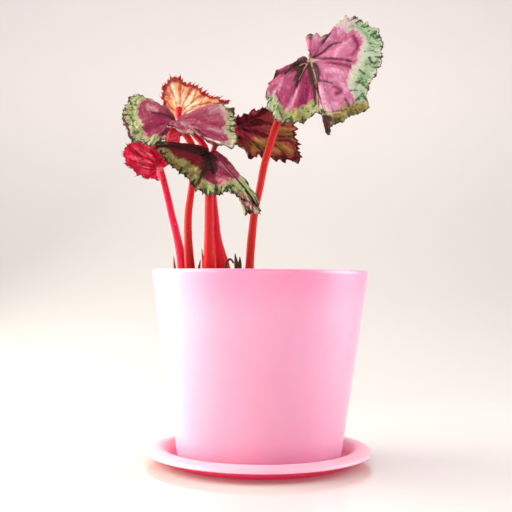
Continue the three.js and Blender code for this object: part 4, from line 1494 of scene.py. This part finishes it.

# Front leaf
# A dark leaf that hangs towards the viewer, with an olive border. Its darkness is partly painted
# shade: deepest on its upper left, turned from the light, and almost black in the fold at its hub. Its
# lower right margin is frilled, down to its curled and shrivelled tip.
FRONT_RIM = [
    (-35.5, -18, 196.8), (-44, -17, 198.6), (-55, -21, 200), (-62, -25, 201), (-67, -27, 199.5),
    (-62, -28, 191.5), (-57, -29, 185.5), (-51, -30, 182), (-45.5, -33, 177), (-40, -35, 170),
    (-34, -36, 167.5), (-28, -37, 166.5), (-21, -37, 168.5), (-13, -36, 165.5), (-4, -34, 160),
    (-8.5, -33, 155.5), (-4, -33, 156.5), (-0.4, -32, 155), (-0.4, -31, 161), (-4, -29, 168.5),
    (-9, -25, 175.5), (-17, -21, 184), (-25, -18, 191.5), (-30.5, -18, 195.4),
]
FRONT_STROKES = {
    "lines": [
        [(-33.5, 193), (-41, 195.5), (-51, 197.5), (-62.5, 199)],
        [(-34, 192.5), (-41, 190.5), (-48.5, 186.5), (-53.5, 186)],
        [(-33.5, 191), (-36, 185), (-39, 178.5), (-41, 173)],
        [(-32, 191), (-29.5, 183.5), (-27, 176), (-25.5, 171)],
        [(-31.5, 192.5), (-24.5, 187), (-15.5, 179.5), (-7, 169.5), (-3, 161)],
    ],
    # The dark strokes along its upper edge and in the fold at its hub are painted shade.
    "dark": [
        [(-65.5, 199.5, 1), (-60.5, 200, 0.8), (-51, 198.5, 0.8), (-41, 196.5, 1), (-34.5, 195, 1.9),
         (-28.5, 192, 1.3)],
        [(-36, 192.5, 1.6), (-32, 188.5, 3.6), (-30, 185, 2.4)],
        [(-34, 186, 1.6), (-37.5, 181, 0.9), (-39.5, 176, 0.6)],
        [(-9.5, 172.5, 0.5), (-5, 166, 0.6), (-2.5, 162.5, 0.5)], [(-63.5, 197, 0.8), (-62, 192, 0.6)],
    ],
    "rich": [
        [(-58.5, 197, 1.3), (-48.5, 193.5, 3.8), (-39.5, 191, 3.1)],
        [(-34.5, 183.5, 1.3), (-30, 180, 0.9)], [(-22, 181.5, 0.6), (-16.5, 178, 0.6)],
    ],
    "light": [
        [(-29.5, 180, 0.6), (-24.5, 178.5, 1.6), (-20.5, 180, 1)],
        [(-26, 189, 0.4), (-19, 184, 0.8), (-14, 179, 0.6)],
        [(-21, 169.5, 1), (-15, 169, 2.2), (-10, 166, 3.2), (-5.5, 162, 2.4)],
        [(-4, 160, 0.8), (-2.5, 156, 0.8)],
    ],
    "spots": [
        [(-29, 176.5, 0.5), (-28, 172.5, 1.3), (-29, 168.5, 1.5)],
        [(-23, 171.5, 0.8), (-19.5, 174.5, 0.9), (-21.5, 175.5, 0.4)],
        [(-15, 178, 0.3), (-12.5, 176, 0.6), (-9.5, 173, 0.6)],
        [(-61, 193, 0.6), (-57, 187, 0.8), (-53.5, 184.5, 0.5)],
        [(-48.5, 182, 0.6), (-43.5, 176.5, 0.8), (-39, 171.5, 1)], [(-35, 173.5, 0.6), (-34, 169, 1)],
        [(-8.5, 161.5, 1), (-7.5, 157.5, 1.5)], [(-17.5, 167, 0.4), (-14.5, 170.5, 0.6)],
        [(-12, 164, 0.4), (-9.8, 168, 0.6)], [(-6, 167, 0.6), (-4.5, 163.5, 0.5)],
        [(-58.5, 193, 0.3), (-54.5, 189, 0.3), (-49.5, 186.5, 0.3)],
    ],
}
FRONT_BORDER = [
    (0, 0), (3, 0.5), (4, 4), (5, 5), (6, 7), (7, 8.4), (8, 8.4), (9, 8), (10, 6), (11, 4.6), (12, 5),
    (13, 8), (14, 13), (18, 13), (19, 9), (20, 5), (21, 1), (23, 0),
]
# The deep tones on its upper left, turned from the light, are painted shade.
FRONT_TONES = [
    (0, 1.3), (4, 1.2), (8, 1.0), (9.4, 1.0), (10.4, 0.2), (14, 0.2), (19, 0.3), (21, 0.6), (23, 1.3),
]
front = Blade(
    hub=(-33, -20, 195.6), rim=FRONT_RIM, veins=[0, 4, 7, 11, 16, 20, 23], arch=2.5, puff=1.8, wave=0.8,
    split=3,
)
# Its dark colours are partly painted shade, for a leaf that lies in the shade of those above it.
shaded_dark_face = variegated(
    "shaded_dark_face", heart=(158, 46, 82), deep=(80, 6, 16), rich=(118, 10, 28), light=(224, 134, 148),
    dark=(32, 14, 6), rib=(52, 16, 14), border=(196, 190, 144), vivid=(150, 170, 104),
    olive=(118, 84, 24), mark=(26, 42, 16), tooth=(54, 18, 22), turned=(150, 60, 72),
)
dark_back = underside(
    "dark_back", middle=(120, 24, 36), outer=(200, 110, 120), border=(226, 160, 166), vein=(90, 16, 26),
    rich=(120, 24, 36), light=(226, 160, 166), width=4,
)
leaf(
    "leaf_front", front, [3.6, 6, 9, 12, 17], FRONT_STROKES, FRONT_BORDER, FRONT_TONES,
    [shaded_dark_face, dark_back, dark_bristle], seed=11, pitch=2.3, tooth=1.7,
    frills=[(14.5, 3.2, 1.8, 3.6)],
)

# Upright leaf
# A young leaf that stands on edge with the light behind it, with a red rim. Its underside is painted
# cream to amber, with a strong painted glow, for that light shining through. Its bristles are the
# longest of all the leaves'.
UPRIGHT_RIM = [
    (-58.4, 19, 224.6), (-64, 19, 230.5), (-67, 20, 238.5), (-67.5, 21, 246.5), (-62, 22, 252.5),
    (-56, 23, 254.5), (-53, 23, 251.5), (-48, 24, 250), (-42, 25, 247.5), (-37, 25, 243.5),
    (-31, 25, 240.5), (-21, 26, 238), (-28, 24, 234.5), (-38, 22, 230), (-46, 20, 225),
    (-53.4, 19, 220.6),
]
UPRIGHT_STROKES = {
    "lines": [
        [(-56, 230.5), (-58.5, 238), (-61.5, 244.5), (-63, 251)],
        [(-56, 231.5), (-55.5, 239.5), (-56, 249)], [(-54.5, 230.5), (-50.5, 239.5), (-47.5, 247)],
        [(-54, 230), (-48, 236), (-41, 242), (-37, 244)],
        [(-53.5, 228.5), (-44.5, 233.5), (-34.5, 236), (-23.5, 237.5)],
        [(-56.5, 229.5), (-61.5, 232.5), (-65.5, 236.5)],
    ],
    "dark": [
        [(-56.5, 231.5, 0.3), (-58.5, 238, 0.3), (-61.5, 244.5, 0.4)],
        [(-55.5, 231.5, 0.3), (-55, 239.5, 0.3), (-55.5, 246, 0.3)],
        [(-54, 231.5, 0.3), (-50.5, 239, 0.3), (-48, 245, 0.4)],
        [(-53.5, 230, 0.3), (-48, 235, 0.3), (-41, 241, 0.3)],
        [(-52.5, 228.5, 0.3), (-44.5, 233, 0.3), (-34.5, 236, 0.4)],
        [(-57.5, 230, 0.4), (-61.5, 232.5, 0.3), (-64, 236, 0.3)], [(-53.5, 242, 0.3), (-52, 246, 0.4)],
        [(-46, 237.5, 0.2), (-44, 243, 0.3)], [(-41, 235, 0.2), (-38, 240, 0.3)],
        [(-60, 241.5, 0.2), (-64, 242.5, 0.4)], [(-58.5, 237.5, 0.2), (-64, 238.5, 0.4)],
    ],
    "rich": [
        [(-67, 239.5, 1.3), (-65, 245.5, 1.6), (-61.5, 250.5, 1.8), (-55.5, 250.5, 2), (-48, 248, 2),
         (-41.5, 245, 1.9), (-33, 241, 1.7), (-23, 237.5, 1.4)],
        [(-63, 248, 0.8), (-61.5, 244.5, 0.4)], [(-66, 241, 0.9), (-62.5, 240, 0.4)],
        [(-55, 248, 0.9), (-54.5, 244.5, 0.4)], [(-47, 245.5, 1), (-48.5, 241.5, 0.4)],
        [(-39, 242, 1), (-41.5, 239, 0.4)], [(-67, 242, 0.9), (-65.5, 235.5, 0.9), (-63.5, 229.5, 0.7)],
        [(-43, 229, 0.7), (-36, 233, 0.8), (-23.5, 236.5, 1.1)],
    ],
    "light": [
        [(-61, 247.5, 1.2), (-59.5, 242, 1.7), (-57, 235, 1.2)],
        [(-53, 246, 0.7), (-53.5, 238, 1.3), (-54, 232.5, 0.8)],
        [(-46.5, 243, 1), (-49.5, 237, 1.7), (-52, 232, 1.2)],
        [(-43, 238, 0.8), (-48, 232, 2.3), (-52, 226.5, 2.4)], [(-37, 239, 0.5), (-43, 234.5, 0.8)],
    ],
}
UPRIGHT_BORDER = [(0, 0), (2, 3), (13, 3), (15, 0)]
UPRIGHT_TONES = [(0, 0.8), (4, 0.7), (7, 0.7), (11, 0.8), (12.5, 0.5), (15, 0.3)]
upright = Blade(
    hub=(-55, 20, 231), rim=UPRIGHT_RIM, veins=[0, 2, 5, 8, 11, 15], arch=2.5, puff=1.4, wave=0.8,
    split=4,
)
amber_face = variegated(
    "amber_face", heart=(216, 140, 150), deep=(180, 80, 100), rich=(170, 60, 80), light=(236, 190, 190),
    dark=(110, 60, 50), rib=(180, 140, 110), border=(214, 206, 170), vivid=(170, 190, 130),
    olive=(160, 160, 100), mark=(100, 80, 60), tooth=(150, 40, 44), turned=(150, 70, 60),
)
# Its cream to amber colours and strong glow are painted light: the light behind the leaf shining
# through.
amber_back = underside(
    "amber_back", middle=(248, 220, 154), outer=(240, 166, 108), border=(130, 6, 34),
    vein=(176, 54, 54), rich=(104, 0, 30), light=(255, 252, 214), width=2.1, glow=0.6, veins=0.3,
)
leaf(
    "leaf_upright", upright, [2, 4.4, 6.2, 8, 11], UPRIGHT_STROKES, UPRIGHT_BORDER, UPRIGHT_TONES,
    [amber_face, amber_back, red_bristle], seed=13, pitch=2.4, tooth=3.2,
    bristle=(2.4, 0.16), fuzz=120, quilt=1.1, frills=[(5, 4, 0.8, 4)],
)

# Withered shoots
# Old growth at the front of the rhizome: a brown shoot with two points, and the thin dry hook
# that is left of a leaf stalk. Both stand in the soil.
DRIED_SHOOT = [
    [(-15, -7, 104, 2.2), (-15, -7, 116, 2), (-15.6, -7, 126, 1.3), (-16.4, -7, 133, 0.2)],
    [(-14.2, -7.7, 106, 1.7), (-14, -7.6, 118, 1.5), (-13.4, -7.5, 126, 1.1), (-13.2, -7.6, 131, 0.2)],
]
DRIED_STALK = [
    (-24, -9, 103, 0.9), (-23.4, -9, 115, 0.9), (-22, -9, 125, 0.8), (-20.4, -9, 129, 0.7),
    (-18.4, -9, 128.6, 0.6), (-17.2, -9.2, 126.6, 0.5),
]


def creased(along, angle):
    return 0.22 * math.sin(3 * angle + 6 * along) + 0.12 * math.sin(8 * angle)


def withered():
    finish = Finish("withered", {"IOR": 1.4, "Specular IOR Level": 0.3})
    streak = finish.speckle(finish.scaled(finish.place(), 700, 700, 120), 1, 4)
    brown = finish.mix(streak.rise(0.4, 0.65), paint(44, 34, 18), paint(110, 66, 38))
    finish.feed("Base Color", brown)
    finish.feed("Roughness", 0.6 + 0.3 * streak)
    finish.bump(streak, 0.7, 0.0005)
    return finish.material


dry = withered()
shoot_parts = [stem(line, sides=18, steps=40, relief=creased) for line in DRIED_SHOOT]
shoot_points, shoot_faces = gathered(shoot_parts)
shoot = piece("withered_shoot", shoot_points * MM, shoot_faces, [dry])
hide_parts("dried_shoot")
hook_points, hook_faces = stem(DRIED_STALK, sides=12, steps=60, relief=creased)
hook = piece("withered_hook", hook_points * MM, hook_faces, [dry])
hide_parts("dried_stalk")

# Floor and backdrop
# One pale painted sweep that runs level under the saucer and turns up behind the plant. Five
# large soft boxes and a pale room light it.
SWEEP_NEAR = -1.2
SWEEP_FAR = 1.3
SWEEP_BEND = 1.0
SWEEP_HIGH = 2.0
SWEEP_HALF_WIDTH = 2.2
SWEEP_STEPS = 24
PAINTED_WALL_LIGHT_FADE = (0.02, 0.55)
PLANT_MIDDLE = (0, 0, 0.13)
SOFT_BOXES = {
    "window": ((-0.7, -0.2, 0.35), (0.5, 0.7), 7, (1.0, 0.99, 0.83)),
    "left_edge": ((-0.55, 0.2, 0.3), (0.4, 0.5), 7, (1.0, 0.99, 0.83)),
    "right_edge": ((0.6, 0.0, 0.3), (0.4, 0.5), 4, (1.0, 0.98, 0.96)),
    "front_low": ((0, -1.15, 0.22), (1.4, 0.3), 5.5, (1.0, 0.97, 1.0)),
    "top_back": ((0, 0.45, 1.2), (1.2, 0.8), 3.5, (1.0, 0.98, 0.97)),
}
ROOM_COLOUR = (1.0, 0.965, 0.95, 1)
ROOM_STRENGTH = 0.72


def sweep():
    line = [(SWEEP_NEAR, 0), (SWEEP_FAR - SWEEP_BEND, 0)]
    for step in range(1, SWEEP_STEPS + 1):
        angle = math.pi / 2 * step / SWEEP_STEPS
        y = SWEEP_FAR - SWEEP_BEND + SWEEP_BEND * math.sin(angle)
        line.append((y, SWEEP_BEND - SWEEP_BEND * math.cos(angle)))
    line.append((SWEEP_FAR, SWEEP_HIGH))
    points = [(side * SWEEP_HALF_WIDTH, y, z) for y, z in line for side in (-1, 1)]
    faces = [(2 * i, 2 * i + 1, 2 * i + 3, 2 * i + 2) for i in range(len(line) - 1)]
    finish = Finish("sweep_paint", {"Roughness": 0.16, "Specular IOR Level": 1.0})
    # The upright part is painted brighter than the floor: painted light that evens out the weaker light
    # reaching it.
    wall = finish.height().rise(*PAINTED_WALL_LIGHT_FADE)
    finish.feed("Base Color", finish.mix(wall, paint(232, 227, 226), paint(270, 261, 260)))
    return shaded("sweep", points, faces, [finish.material])


def soft_box(name, place, size, power, colour):
    """A lit rectangle that faces the middle of the plant."""
    light = bpy.data.lights.new(name, "AREA")
    light.shape = "RECTANGLE"
    light.size, light.size_y = size
    light.energy = power
    light.color = colour
    aim = Vector(PLANT_MIDDLE) - Vector(place)
    made = bpy.data.objects.new(name, light)
    made.location = place
    made.rotation_euler = aim.to_track_quat("-Z", "Y").to_euler()
    bpy.context.scene.collection.objects.link(made)


sweep()
for name, settings in SOFT_BOXES.items():
    soft_box(name, *settings)
room = bpy.data.worlds.new("room")
room.use_nodes = True
room.node_tree.nodes["Background"].inputs["Color"].default_value = ROOM_COLOUR
room.node_tree.nodes["Background"].inputs["Strength"].default_value = ROOM_STRENGTH
bpy.context.scene.world = room
bpy.context.scene.view_settings.view_transform = "Standard"

# Camera
# It stands at VIEWER, 58 cm in front of the pot's axis and just lower than the rim. It looks up
# a little, and is tilted a hair to the left.
CAMERA_UP = math.radians(1.54)
CAMERA_ROLL = math.radians(-0.4)
SENSOR = 36
FOCAL_PIXELS = 892
PICTURE_PIXELS = 512
camera = bpy.data.cameras.new("camera")
camera.sensor_width = SENSOR
camera.lens = SENSOR * FOCAL_PIXELS / PICTURE_PIXELS
camera_object = bpy.data.objects.new("camera", camera)
camera_object.location = VIEWER * MM
camera_object.rotation_euler = (math.pi / 2 + CAMERA_UP, CAMERA_ROLL, 0)
bpy.context.scene.collection.objects.link(camera_object)
bpy.context.scene.camera = camera_object
